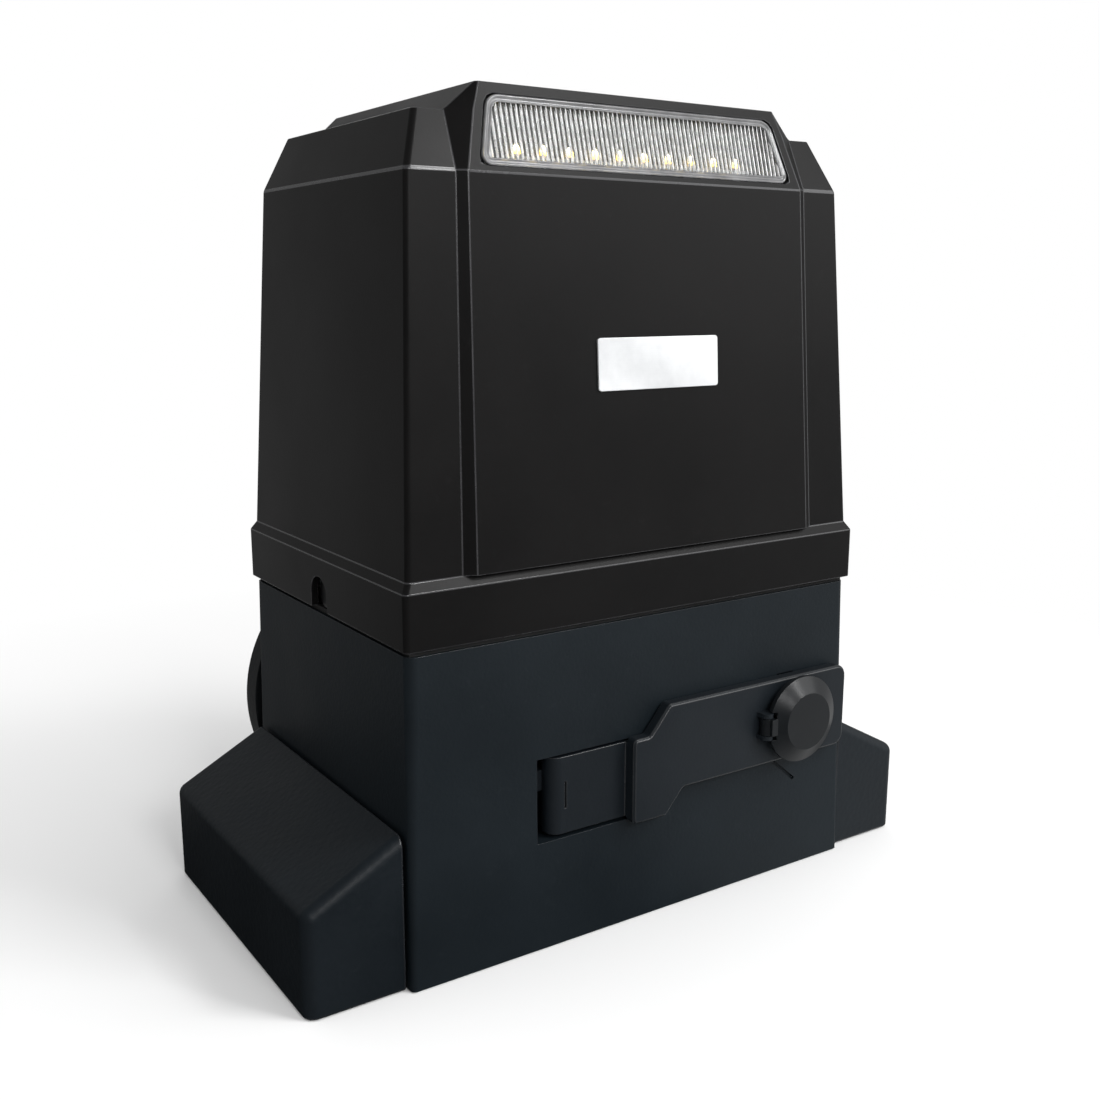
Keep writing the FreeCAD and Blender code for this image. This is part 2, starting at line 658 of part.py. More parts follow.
skirt_x, skirt_y = base_x(rim_z) + skirt_proud, base_y(rim_z) + skirt_proud
low_x, low_y = skirt_x - ledge_in, skirt_y - ledge_in
mid_x, mid_y = low_x - wall_in_x, low_y - wall_in_y
top_x, top_y = mid_x - roof_in_x, mid_y - roof_in_y
panel_low_y, panel_mid_y = low_y + proud_low, mid_y + proud_mid
panel_top_y = panel_mid_y - crown_in
slope = crown_in / (crown_z - roof_z)


def panel_y(z):
    """Front of the centre panel below the roof line, as a distance in front of the middle."""
    return panel_low_y - (panel_low_y - panel_mid_y) * (dim(z) - ledge_z) / wall_rise


def window_y(z):
    """Front of the window slope between the roof line and the crown."""
    return panel_mid_y - slope * (dim(z) - roof_z)


# ---------------------------------------------------------------- base housing

deck_z = out_z + case_r
post = base_w / 15

base = body("base_housing")
loft(base, "XY", [(0, rounded(-base_x(0), -base_y(0), base_x(0), base_y(0), base_r / 2)),
                  (rim_z, rounded(-base_x(rim_z), -base_y(rim_z), base_x(rim_z), base_y(rim_z), base_r))])
inner_low, inner_rim = (base_x(floor_t) - wall, base_y(floor_t) - wall), (base_x(rim_z) - wall, base_y(rim_z) - wall)
loft(base, "XY", [(floor_t, rect(-inner_low[0], -inner_low[1], inner_low[0], inner_low[1])),
                  (rim_z, rect(-inner_rim[0], -inner_rim[1], inner_rim[0], inner_rim[1]))], cut=True)
# Anchoring flanges to both sides, each with two slots and two levelling screws.
flange_x = base_w / 2 + flange_reach
for side in (-1, 1):
    inner_edge = base_w / 2 - wall / 2
    low, high = (inner_edge, flange_x) if side > 0 else (-flange_x, -inner_edge)
    pad(base, "XY", 0, flange_t, rect(low, -flange_d / 2, high, flange_d / 2))
dress(base, "Fillet", base_r, lambda e: along("Z")(e) and abs(e.CenterOfMass.x) > flange_x.value - 0.1)
pocket(base, "XY", 0, flange_t, *[slot(slot_x / 2 * i, slot_y / 2 * j, slot_l, slot_w) for i in (-1, 1) for j in (-1, 1)])
pocket(base, "XY", 0, flange_t, *[circle(level_x / 2 * i, level_y / 2 * j, level_r) for i in (-1, 1) for j in (-1, 1)])
# Blocks in the four corners carry the deck plate.
for i in (-1, 1):
    for j in (-1, 1):
        x0, x1 = sorted((inner_rim[0] * i + wall / 2 * i, (inner_rim[0] - post) * i), key=lambda q: q.value)
        y0, y1 = sorted((inner_rim[1] * j + wall / 2 * j, (inner_rim[1] - post) * j), key=lambda q: q.value)
        pad(base, "XY", deck_z - post, deck_z, rect(x0, y0, x1, y1))
# Lugs inside the skirt take the two cover screws from the sides.
lug_x = base_x(rim_z) - seal_in - seal_w - fit_gap * 1.5
lug_half = notch_w / 2 + wall / 2
lug_top = skirt_z + notch_h + wall / 2
for side in (-1, 1):
    inner_edge = inner_rim[0] - wall
    low, high = (inner_edge, lug_x) if side > 0 else (-lug_x, -inner_edge)
    pad(base, "XY", rim_z - post, lug_top, rect(low, -lug_half, high, lug_half))
    low, high = (inner_edge, lug_x + wall / 3) if side > 0 else (-lug_x - wall / 3, -inner_edge)
    pad(base, "XY", rim_z - post, rim_z, rect(low, -lug_half, high, lug_half))
screw_z = skirt_z + notch_h - notch_w / 2
pocket(base, "YZ", lug_x - screw_l, lug_x, circle(0, screw_z, screw_r))
pocket(base, "YZ", -lug_x, -lug_x + screw_l, circle(0, screw_z, screw_r))
# The lever recess is a tub moulded into the front wall.
tub_t = wall - 0.5
tub_front = -base_y(recess_z0) + wall / 2
pad(base, "XZ", recess_y, recess_y + tub_t, rect(recess_x0 - tub_t, recess_z0 - tub_t, recess_x1 + tub_t, recess_z1 + tub_t))
pad(base, "XZ", tub_front, recess_y, rect(recess_x0 - tub_t, recess_z0 - tub_t, recess_x1 + tub_t, recess_z1 + tub_t))
pocket(base, "XZ", -base_y(0), recess_y, rect(recess_x0, recess_z0, recess_x1, recess_z1))
# A slanting groove is moulded under the lock.
groove_x, groove_z = lock_x + 0.8, lock_z - collar_r - cap_r * 0.65
across, along_x = (mark_w / 2 * 0.64, mark_w / 2 * 0.77), (mark_l / 2 * 0.77, mark_l / 2 * -0.64)
pocket(base, "XZ", -base_y(0), -base_y(groove_z) + mark_d,
       poly(*[(groove_x + along_x[0] * i + across[0] * j, groove_z + along_x[1] * i + across[1] * j)
              for i, j in ((-1, -1), (1, -1), (1, 1), (-1, 1))]))
# Bores for the lever hinge pin, the push rod and the lock with its tongue.
pin_z0, pin_z1 = recess_z0 - tub_t * 0.75, recess_z1 + tub_t * 0.75
pocket(base, "XY", pin_z0, pin_z1, circle(pin_x, pin_y, pin_r))
pocket(base, "XZ", recess_y - 1, recess_y + tub_t + 1, circle(out_x, out_z, rod_r + rod_room))
pocket(base, "XZ", -base_y(0), -base_y(0) + wall * 2, circle(lock_x, lock_z, lock_r + lock_room))
pocket(base, "XZ", -base_y(0), -base_y(0) + wall * 2,
       rect(lock_x - tongue_w / 2 - lock_room, lock_z - tongue_l / 2 - lock_room,
            lock_x + tongue_w / 2 + lock_room, lock_z + tongue_l / 2 + lock_room))
# The gear case leaves through the rear wall; the cables come up through the floor.
pocket(base, "XZ", base_y(0) - wall * 2, base_y(0), circle(out_x, out_z, case_r + case_room))
pocket(base, "XY", 0, floor_t, circle(grommet_x, grommet_y, grommet_r + grommet_t))

# ---------------------------------------------------------------- loose pieces of the base

group("levelling_screws", [rod("Z", level_x / 2 * i, level_y / 2 * j, 0.5, level_r, level_l) for i in (-1, 1) for j in (-1, 1)])

grommet = body("cable_grommet")
turned(grommet, "XZ", grommet_y, "V_Axis",
       poly((grommet_r, 0.5), (grommet_r + grommet_t, 0.5), (grommet_r + grommet_t, floor_t),
            (grommet_r + grommet_t + lip, floor_t), (grommet_r + grommet_t + lip, floor_t + lip),
            (grommet_r, floor_t + lip * 2)), origin=(grommet_x, 0))

screws = []
for side in (-1, 1):
    start = lug_x - screw_l if side > 0 else -lug_x
    screws.append(fuse(rod("X", start, 0, screw_z, screw_r, screw_l),
                       rod("X", lug_x if side > 0 else -lug_x - head_h, 0, screw_z, head_r, head_h)))
group("cover_screws", screws)

group("hinge_pin", [rod("Z", pin_x, pin_y, pin_z0, pin_r, pin_z1 - pin_z0)])

seal = body("rim_seal")
sx, sy = base_x(rim_z) - seal_in, base_y(rim_z) - seal_in
pad(seal, "XY", rim_z, skirt_z - 0.1, rect(-sx, -sy, sx, sy), rect(-sx + seal_w, -sy + seal_w, sx - seal_w, sy - seal_w))

# ---------------------------------------------------------------- gear case and its cover

wheel_r = module * wheel_teeth / 2
worm_x = out_x + wheel_r + worm_pd
worm_y = wheel_w / 2
tip_worm = worm_pd + module
seat_z = tower_low + tower_floor

case = body("gear_case")
pad(case, "XZ", case_front, case_back, circle(0, 0, case_r), origin=(out_x, out_z))
pad(case, "XY", tower_low, deck_z, circle(worm_x, worm_y, tower_r))
# Two feet stand on the floor of the base.
for y in (case_front, base_y(0) - wall * 3 - foot_t):
    pad(case, "XZ", y, y + foot_t, rect(out_x - foot_half, floor_t, out_x + foot_half, out_z - case_r / 2))
# The cavity leaves a boss round the front bearing seat.
boss_y = case_front + case_floor + bearing_w + 1
turned(case, "YZ", out_x, "H_Axis",
       poly((boss_y, 0), (case_back, 0), (case_back, cavity_r), (case_front + case_floor * 2, cavity_r),
            (case_front + case_floor * 2, nose_out + case_floor * 2), (boss_y, nose_out + case_floor)),
       origin=(0, out_z), cut=True)
pocket(case, "XZ", case_front + case_floor, boss_y + 1, circle(out_x, out_z, nose_out))
pocket(case, "XZ", case_front - 1, case_front + case_floor + 1, circle(out_x, out_z, rod_r + rod_room * 2))
pocket(case, "XY", seat_z, seat_z + worm_bw, circle(worm_x, worm_y, worm_out))
pocket(case, "XY", seat_z + worm_bw - 0.5, deck_z, circle(worm_x, worm_y, tip_worm + worm_room))

pitch_r = (case_r + cavity_r) / 2
hole = pocket(case, "XZ", case_back - m5_l, case_back, circle(0, pitch_r, m5), origin=(out_x, out_z))
pattern(case, [hole], "PolarPattern", (hole.Profile[0], ["N_Axis"]), cover_screw_n)

gear_cover = body("gear_cover")
cover_back = case_back + cover_t
turned(gear_cover, "YZ", out_x, "H_Axis",
       poly((case_back - spigot, bearing_out), (case_back - spigot, cavity_r), (case_back, cavity_r), (case_back, flange_r),
            (cover_back - 2, flange_r), (cover_back, flange_r - 2), (cover_back, seal_r), (cover_back - seal_l, seal_r),
            (cover_back - seal_l, shaft_r + 1), (case_back - spigot + bearing_w + 1, shaft_r + 1),
            (case_back - spigot + bearing_w + 1, bearing_out)), origin=(0, out_z))
hole = pocket(gear_cover, "XZ", case_back, cover_back, circle(0, pitch_r, m5), origin=(out_x, out_z))
pattern(gear_cover, [hole], "PolarPattern", (hole.Profile[0], ["N_Axis"]), cover_screw_n)

screws = body("gear_cover_screws")
screws.AllowCompound = True
one = pad(screws, "XZ", case_back - m5_l, cover_back, circle(0, pitch_r, m5), origin=(out_x, out_z))
pattern(screws, [one], "PolarPattern", (one.Profile[0], ["N_Axis"]), cover_screw_n)
one = pad(screws, "XZ", cover_back, cover_back + m5_high, circle(0, pitch_r, m5_head), origin=(out_x, out_z))
pattern(screws, [one], "PolarPattern", (one.Profile[0], ["N_Axis"]), cover_screw_n)
one = pocket(screws, "XZ", cover_back + m5_high / 2, cover_back + m5_high,
             poly(*[(m5_hex * math.cos(math.radians(60 * k)), m5_hex * math.sin(math.radians(60 * k)) + pitch_r)
                    for k in range(6)]), origin=(out_x, out_z))
pattern(screws, [one], "PolarPattern", (one.Profile[0], ["N_Axis"]), cover_screw_n)


def bearing(label, plane, level, axis, origin, start, width, inner, outer):
    """Two rings with a row of balls between them, drawn as one grooved turning."""
    b = body(label)
    third = (outer - inner) / 3
    turned(b, plane, level, axis, *[poly(*[(u, v) if axis == "H_Axis" else (v, u) for u, v in ring]) for ring in (
        [(start, inner), (start + width, inner), (start + width, inner + third), (start + width * 0.9, inner + third),
         (start + width * 0.9, outer - third), (start + width, outer - third), (start + width, outer), (start, outer),
         (start, outer - third), (start + width * 0.1, outer - third), (start + width * 0.1, inner + third),
         (start, inner + third)],)], origin=origin)
    return b


rear_y = case_back - spigot + 1
bearing("rear_bearing", "YZ", out_x, "H_Axis", (0, out_z), rear_y, bearing_w, shaft_r, bearing_out)
nose_y = case_front + case_floor
bearing("front_bearing", "YZ", out_x, "H_Axis", (0, out_z), nose_y, bearing_w, nose_r, nose_out)
bearing("worm_bearing_lower", "XZ", worm_y, "V_Axis", (worm_x, 0), seat_z, worm_bw, worm_shaft_r, worm_out)

oil_seal = body("oil_seal")
turned(oil_seal, "YZ", out_x, "H_Axis", rect(cover_back - seal_l, shaft_r + slide_fit, cover_back, seal_r), origin=(0, out_z))

# ---------------------------------------------------------------- deck, motor and electrics

deck = body("deck_plate")
dx, dy = inner_rim[0] - deck_edge, inner_rim[1] - deck_edge
pad(deck, "XY", deck_z, deck_z + deck_t, rect(-dx, -dy, dx, dy))
lug_room = lug_half + 1
for side in (-1, 1):
    low, high = (inner_rim[0] - wall - 1, dx) if side > 0 else (-dx, -inner_rim[0] + wall + 1)
    pocket(deck, "XY", deck_z, deck_z + deck_t, rect(low, -lug_room, high, lug_room))
pocket(deck, "XY", deck_z, deck_z + deck_t, circle(worm_x, worm_y, worm_out), circle(grommet_x, grommet_y, grommet_r))
deck_top = deck_z + deck_t

tie_at = motor_r + tie_r + fit_gap * 4
tie_xy = tie_at * math.cos(math.pi / 4)
stack_z = deck_top + bell_low
stack_top = stack_z + stack_h
bell_z = stack_top + bell_top

bell = body("motor_end_lower")
turned(bell, "XZ", worm_y, "V_Axis",
       poly((worm_out, deck_top), (motor_r, deck_top), (motor_r, stack_z), (motor_r - bell_t, stack_z),
            (motor_r - bell_t, deck_top + bell_t), (worm_out, deck_top + bell_t)), origin=(worm_x, 0))
ear = pad(bell, "XY", stack_z - bell_ear, stack_z, circle(tie_xy, tie_xy, bell_ear), origin=(worm_x, worm_y))
pattern(bell, [ear], "PolarPattern", (ear.Profile[0], ["N_Axis"]), 4)
drill = pocket(bell, "XY", stack_z - bell_ear, stack_z, circle(tie_xy, tie_xy, tie_r), origin=(worm_x, worm_y))
pattern(bell, [drill], "PolarPattern", (drill.Profile[0], ["N_Axis"]), 4)

bell = body("motor_end_upper")
turned(bell, "XZ", worm_y, "V_Axis",
       poly((motor_r - bell_t, stack_top), (motor_r, stack_top), (motor_r, bell_z - 2), (motor_r - 2, bell_z),
            (worm_shaft_r + shaft_room, bell_z), (worm_shaft_r + shaft_room, bell_z - bell_t / 2),
            (worm_out, bell_z - bell_t / 2), (worm_out, bell_z - bell_t / 2 - worm_bw), (worm_out + seat, bell_z - bell_t / 2 - worm_bw),
            (worm_out + seat, bell_z - bell_t), (motor_r - bell_t, bell_z - bell_t)), origin=(worm_x, 0))
ear = pad(bell, "XY", stack_top, stack_top + bell_ear, circle(tie_xy, tie_xy, bell_ear), origin=(worm_x, worm_y))
pattern(bell, [ear], "PolarPattern", (ear.Profile[0], ["N_Axis"]), 4)
drill = pocket(bell, "XY", stack_top, stack_top + bell_ear, circle(tie_xy, tie_xy, tie_r), origin=(worm_x, worm_y))
pattern(bell, [drill], "PolarPattern", (drill.Profile[0], ["N_Axis"]), 4)
top_seat = bell_z - bell_t / 2 - worm_bw
bearing("motor_bearing_upper", "XZ", worm_y, "V_Axis", (worm_x, 0), top_seat, worm_bw, worm_shaft_r, worm_out)

stator = body("motor_stator")
pad(stator, "XY", stack_z, stack_top, circle(worm_x, worm_y, motor_r), circle(worm_x, worm_y, rotor_r + air_gap))
group("motor_windings", [cut(rod("Z", worm_x, worm_y, z, motor_r - bell_t - 1, winding), rod("Z", worm_x, worm_y, z, rotor_r + air_gap + 2, winding))
                         for z in (stack_z - winding, stack_top)])
bolts = []
for i, j in ((1, 1), (-1, 1), (-1, -1), (1, -1)):
    ax, ay = worm_x + tie_xy * i, worm_y + tie_xy * j
    bolts.append(fuse(rod("Z", ax, ay, stack_z - bell_ear, tie_r, stack_h + bell_ear * 2),
                      rod("Z", ax, ay, stack_top + bell_ear, tie_r + fit_gap * 3, tie_head)))
group("tie_bolts", bolts)

leg = core_w / 6
core = body("transformer_core")
z0 = deck_top
pad(core, "XZ", core_y - core_t / 2, core_y + core_t / 2,
    rect(core_x - core_w / 2, z0, core_x + core_w / 2, z0 + core_h),
    rect(core_x - leg * 2, z0 + leg, core_x - leg, z0 + core_h - leg),
    rect(core_x + leg, z0 + leg, core_x + leg * 2, z0 + core_h - leg))
coil = body("transformer_coil")
pad(coil, "XY", z0 + leg + 0.5, z0 + core_h - leg - 0.5,
    rect(core_x - leg * 2 + 0.3, core_y - core_t / 2 - coil_out, core_x + leg * 2 - 0.3, core_y + core_t / 2 + coil_out),
    rect(core_x - leg - 0.2, core_y - core_t / 2 - 0.2, core_x + leg + 0.2, core_y + core_t / 2 + 0.2))
dress(coil, "Fillet", coil_out / 3, lambda e: along("Z")(e) and abs(e.CenterOfMass.y - core_y.value) > (core_t / 2 + coil_out).value - 0.1)

can = body("start_capacitor")
turned(can, "XZ", cap_y, "V_Axis",
       poly((0, deck_top), (cap_can_r, deck_top), (cap_can_r, deck_top + cap_can_h - 2), (cap_can_r - 2, deck_top + cap_can_h),
            (cap_can_r / 2, deck_top + cap_can_h), (cap_can_r / 2, deck_top + cap_can_h + 4), (0, deck_top + cap_can_h + 4)), origin=(cap_x, 0))

board_z = deck_top + board_up
board = body("control_board")
pad(board, "XZ", board_y, board_y + pcb_t, rect(-board_w / 2, board_z, board_w / 2, board_z + board_h))
brackets = []
back = board_y + pcb_t
for side in (-1, 1):
    x1 = board_w / 2 * side
    x0 = x1 - bracket_w * side
    x0, x1 = (x0, x1) if side > 0 else (x1, x0)
    brackets.append(fuse(block(x0, x1, back, back + bracket_t, deck_top, board_z + board_h),
                         block(x0, x1, back, back + bracket_foot, deck_top, deck_top + bracket_t)))
group("board_brackets", brackets)
screws = []
for side in (-1, 1):
    for up in (0, 1):
        sx = (board_w / 2 - bracket_w / 2) * side
        sz = board_z + hole_in + (board_h - hole_in * 2) * up
        screws.append(rod("Y", sx, board_y - 2, sz, m3 * 2, 2))
group("board_screws", screws)

term = body("terminal_blocks")
term.AllowCompound = True
term_z = board_z + terminal_up
ways = 9
for x in (-board_w / 2 + bracket_w + 2, board_w / 2 - bracket_w - 2 - way * ways):
    pad(term, "XZ", board_y - block_d, board_y, rect(x, term_z, x + way * ways, term_z + block_h))
cells = [pocket(term, "XZ", board_y - block_d, board_y - block_d / 2,
                *[rect(x + way * 0.2 + way * k, term_z + 1.5, x + way * 0.8 + way * k, term_z + block_h / 2) for k in range(ways)])
         for x in (-board_w / 2 + bracket_w + 2, board_w / 2 - bracket_w - 2 - way * ways)]
relay_z = board_z + board_h - relay_h - 12
group("relays", [block(x, x + relay_w, board_y - block_d, board_y, relay_z, relay_z + relay_h)
                 for x in (-relay_w * 3, -relay_w * 1.5, 0, relay_w * 1.5)])

# ---------------------------------------------------------------- release lever, lock and dust cap

plate_back = -(base_y(recess_z0) + lever_gap)
plate_front = plate_back - plate_t
arm_front = -base_y(recess_z0)
arm_back = arm_front + arm_t
arm_z0, arm_z1 = recess_z0 + arm_gap * 1.6, recess_z1 - arm_gap

lever = body("release_lever")
pad(lever, "XZ", plate_front, plate_back,
    poly((raise_x, lever_low2), (neck_x, lever_low2), (neck_x + 8.5, lever_z0), (lever_x1, lever_z0), (lever_x1, lever_z1),
         (neck_x + 1, lever_z1), (neck_x - 8.5, lever_mid), (raise_x, lever_mid)))
dress(lever, "Fillet", corner, lambda e: along("Y")(e) and e.CenterOfMass.x > lever_x1.value - 0.5)
dress(lever, "Fillet", soft, lambda e: along("Y")(e) and e.CenterOfMass.x < lever_x1.value - 20)
dress(lever, "Chamfer", edge, lambda e: e.CenterOfMass.y < plate_front.value + 0.01)
# The arm lies in the recess and joins the plate from behind.
arm_x1 = recess_x1 - arm_gap * 3
pad(lever, "XZ", arm_front, arm_back, rect(arm_x, arm_z0, arm_x1, arm_z1))
dress(lever, "Fillet", arm_t * 0.75, lambda e: along("Z")(e) and e.CenterOfMass.x < arm_x.value + 0.1 and e.CenterOfMass.y < arm_front.value + 0.1)
pad(lever, "XZ", plate_back, arm_front, rect(raise_x, arm_z0, arm_x1, arm_z1))
# Two knuckles carry the hinge pin above and below the cam.
cam_z = out_z - cam_t / 2
for z0, z1 in ((arm_z0, cam_z - knuckle_gap), (cam_z + cam_t + knuckle_gap, arm_z1)):
    pad(lever, "XY", z0, z1, circle(pin_x, pin_y, knuckle_r))
    pad(lever, "XY", z0, z1, rect(pin_x - knuckle_r, arm_back - 1, pin_x + knuckle_r, pin_y))
pocket(lever, "XY", arm_z0, cam_z - knuckle_gap, circle(pin_x, pin_y, pin_r + slide_fit))
pocket(lever, "XY", cam_z + cam_t + knuckle_gap, arm_z1, circle(pin_x, pin_y, pin_r + slide_fit))
# The plate is bored for the key cylinder; the key slot mark stands in the arm.
pocket(lever, "XZ", plate_front, plate_back, circle(lock_x, lock_z, lock_r))
pocket(lever, "XZ", arm_front, arm_front + 1, rect(mark_x - 0.4, (arm_z0 + arm_z1) / 2 - mark_h / 2, mark_x + 0.4, (arm_z0 + arm_z1) / 2 + mark_h / 2))

# A spiral cam behind the arm pushes the rod further in the further the lever swings.
cam = body("release_cam")


def cam_at(angle):
    reach = cam_r + lift * (angle - 90) / 90 if angle > 90 else cam_r
    return (pin_x + reach * math.cos(math.radians(angle)), pin_y + reach * math.sin(math.radians(angle)))


spiral = [cam_at(a) for a in range(66, 199, 12)]
pad(cam, "XY", cam_z, cam_z + cam_t,
    poly((pin_x - lift - cam_r, arm_back), (pin_x + cam_r * 0.6, arm_back), *spiral))
pocket(cam, "XY", cam_z, cam_z + cam_t, circle(pin_x, pin_y, pin_r + slide_fit))

lock = body("lock_body")
turned(lock, "YZ", lock_x, "H_Axis",
       poly((plate_front - collar_h, key_r + slide_fit), (plate_front - collar_h, collar_r - 1), (plate_front - collar_h + 1, collar_r),
            (plate_front, collar_r), (plate_front, lock_r), (plate_back + lock_l, lock_r), (plate_back + lock_l, key_r + slide_fit)),
       origin=(0, lock_z))

plug = body("lock_plug")
plug_back = plate_back + lock_l + fit_gap
turned(plug, "YZ", lock_x, "H_Axis", rect(plate_front - collar_h + 0.5, 0, plug_back + tongue_t, key_r), origin=(0, lock_z))
pad(plug, "XZ", plug_back, plug_back + tongue_t, rect(-tongue_w / 2, -tongue_l / 2, tongue_w / 2, tongue_l / 2), origin=(lock_x, lock_z))
pocket(plug, "XZ", plate_front - collar_h, plate_front, rect(-key_w / 2, -key_h / 2, key_w / 2, key_h / 2), origin=(lock_x, lock_z))

# The dust cap shuts over the collar and swings on a small pin at its left.
cap_hinge_x = lock_x - cap_r + cap_hinge_in
cap_back = plate_front - cap_gap
cap_front = cap_back - cap_h
cap_hinge_y = plate_front - cap_ear - fit_gap
cap = body("lock_cap")
turned(cap, "YZ", lock_x, "H_Axis",
       poly((cap_front, 0), (cap_front, cap_flat_r), (cap_back - 1.8, cap_r), (cap_back, cap_r), (cap_back, collar_r + cap_room),
            (plate_front - collar_h - fit_gap * 1.5, collar_r + cap_room), (plate_front - collar_h - fit_gap * 1.5, 0)), origin=(0, lock_z))
notch_r = cap_ear + fit_gap * 1.7
notch_half = knuckle_h + fit_gap * 2 + ear_h
pocket(cap, "XY", lock_z - notch_half, lock_z + notch_half,
       rect(cap_hinge_x - cap_ear * 2, cap_hinge_y - notch_r, cap_hinge_x + notch_r, cap_back + 1))
pad(cap, "XY", lock_z - knuckle_h, lock_z + knuckle_h, circle(cap_hinge_x, cap_hinge_y, cap_ear))
pad(cap, "XY", lock_z - knuckle_h, lock_z + knuckle_h,
    rect(cap_hinge_x - cap_ear * 0.2, cap_hinge_y - notch_r - 0.8, cap_hinge_x + cap_ear, cap_hinge_y))
pocket(cap, "XY", lock_z - knuckle_h, lock_z + knuckle_h, circle(cap_hinge_x, cap_hinge_y, cap_hinge_r + slide_fit))

ears = []
for z in (lock_z - knuckle_h - fit_gap - ear_h, lock_z + knuckle_h + fit_gap):
    ears.append(fuse(rod("Z", cap_hinge_x, cap_hinge_y, z, cap_ear, ear_h),
                     block(cap_hinge_x - cap_ear, cap_hinge_x + cap_ear, cap_hinge_y, plate_front, z, z + ear_h)))
pin_low = lock_z - knuckle_h - fit_gap - ear_h
group("cap_hinge", [fuse(*(ears + [rod("Z", cap_hinge_x, cap_hinge_y, pin_low, cap_hinge_r, (knuckle_h + fit_gap + ear_h) * 2)]))])

# ---------------------------------------------------------------- output train

dog_y = wheel_w
ring_y = dog_y + dog_h + fit_gap
cross_y = ring_y + ring_w / 2
shaft_back = cover_back + hub_l + pinion_off + pinion_w

shaft = body("output_shaft")
turned(shaft, "YZ", out_x, "H_Axis",
       poly((nose_y, rod_r + rod_room), (nose_y, nose_r), (boss_y + 1, nose_r), (boss_y + 1, shaft_r), (shaft_back, shaft_r),
            (shaft_back, 0), (cross_y + lift + pin_len_r * 2, 0), (cross_y + lift + pin_len_r * 2, rod_r + rod_room)), origin=(0, out_z))
pocket(shaft, "XY", out_z, out_z + shaft_r + 1, slot(out_x, cross_y + lift / 2, lift + (pin_len_r + fit_gap) * 2, (pin_len_r + fit_gap) * 2, upright=True))
pocket(shaft, "XY", out_z - shaft_r - 1, out_z, slot(out_x, cross_y + lift / 2, lift + (pin_len_r + fit_gap) * 2, (pin_len_r + fit_gap) * 2, upright=True))
key_y = shaft_back - pinion_w / 2 - key_l / 2
pocket(shaft, "XZ", key_y, key_y + key_l, rect(-key_b / 2, shaft_r - key_t / 2, key_b / 2, shaft_r + key_t), origin=(out_x, out_z))

pinion_back = shaft_back
pinion_front = pinion_back - pinion_w


def involute_half(teeth, addendum):
    """Half angle of a 20 degree involute tooth at pitch radius plus addendum (in modules)."""
    r, alpha = teeth / 2.0, math.radians(20)
    here = r + addendum
    a = math.acos(min(1.0, r * math.cos(alpha) / here))
    return math.pi / (2 * teeth) + (math.tan(alpha) - alpha) - (math.tan(a) - a)


def tooth(mod, teeth, backlash, root, twist=0.0):
    """Tooth outline that points to +v, as multiples of the module, backlash in modules."""
    right = []
    for add in (root, -0.6, 0, 0.5, 1.0):
        r = teeth / 2.0 + add
        angle = involute_half(teeth, max(add, -teeth / 2.0 * (1 - math.cos(math.radians(20))))) - backlash / teeth
        right.append((r, angle))
    pts = [(mod * (r * math.sin(a + twist)), mod * (r * math.cos(a + twist))) for r, a in right]
    pts += [(mod * (r * math.sin(-a + twist)), mod * (r * math.cos(-a + twist))) for r, a in reversed(right)]
    return poly(*pts)


pinion = body("drive_pinion")
pin_root = rack_module * (pinion_teeth / 2 - 1.25)
turned(pinion, "YZ", out_x, "H_Axis",
       poly((pinion_front - hub_l, shaft_r), (pinion_front - hub_l, pin_root - rack_module), (pinion_front, pin_root - rack_module),
            (pinion_front, pin_root), (pinion_back, pin_root), (pinion_back, shaft_r)), origin=(0, out_z))
one = pad(pinion, "XZ", pinion_front, pinion_back, tooth(rack_module, int(pinion_teeth.value), 0.05, -1.35), origin=(out_x, out_z))
pattern(pinion, [one], "PolarPattern", (one.Profile[0], ["N_Axis"]), pinion_teeth)
pocket(pinion, "XZ", pinion_front - hub_l, pinion_back, rect(-key_b / 2, 0, key_b / 2, shaft_r + key_t / 2), origin=(out_x, out_z))

group("pinion_key", [block(out_x - key_b / 2, out_x + key_b / 2, key_y, key_y + key_l, out_z + shaft_r - key_t / 2, out_z + shaft_r + key_t / 2)])
bolt = body("pinion_bolt")
pad(bolt, "XZ", shaft_back, shaft_back + washer_t, circle(0, 0, washer_r), origin=(out_x, out_z))
pad(bolt, "XZ", shaft_back + washer_t, shaft_back + washer_t + bolt_h,
    poly(*[(bolt_h * 1.2 * math.cos(math.radians(60 * k)), bolt_h * 1.2 * math.sin(math.radians(60 * k))) for k in range(6)]), origin=(out_x, out_z))

# Worm wheel: helical teeth on a bronze rim, clutch dogs on its rear face.
wheel = body("worm_wheel")
wheel_root = wheel_r - module * 1.2
rim_in = wheel_root - module * 2
web = wheel_w / 4
turned(wheel, "YZ", out_x, "H_Axis",
       poly((0, shaft_r), (0, shaft_r + wall), (web, shaft_r + wall), (web, rim_in), (0, rim_in), (0, wheel_root), (wheel_w, wheel_root),
            (wheel_w, rim_in), (wheel_w - web / 2, rim_in), (wheel_w - web / 2, clutch_r), (wheel_w, clutch_r), (wheel_w, shaft_r)), origin=(0, out_z))
twist = module.value / (worm_pd.value * 2) * wheel_w.value / 2 / wheel_r.value
first = math.pi / 2 - math.pi / wheel_teeth.value
rings = [sketch(wheel, "XZ", y, [tooth(module, int(wheel_teeth.value), 0.13, -1.3, twist=first - turn)], (out_x, out_z))
         for y, turn in ((dim(0), twist), (wheel_w, -twist))]
teeth = wheel.newObject("PartDesign::AdditiveLoft", "worm_wheel_tooth")
teeth.Profile, teeth.Sections, teeth.Ruled = rings[0], [rings[1]], True
wheel.Tip = teeth
finish(wheel, teeth, False)
pattern(wheel, [teeth], "PolarPattern", (rings[0], ["N_Axis"]), wheel_teeth)


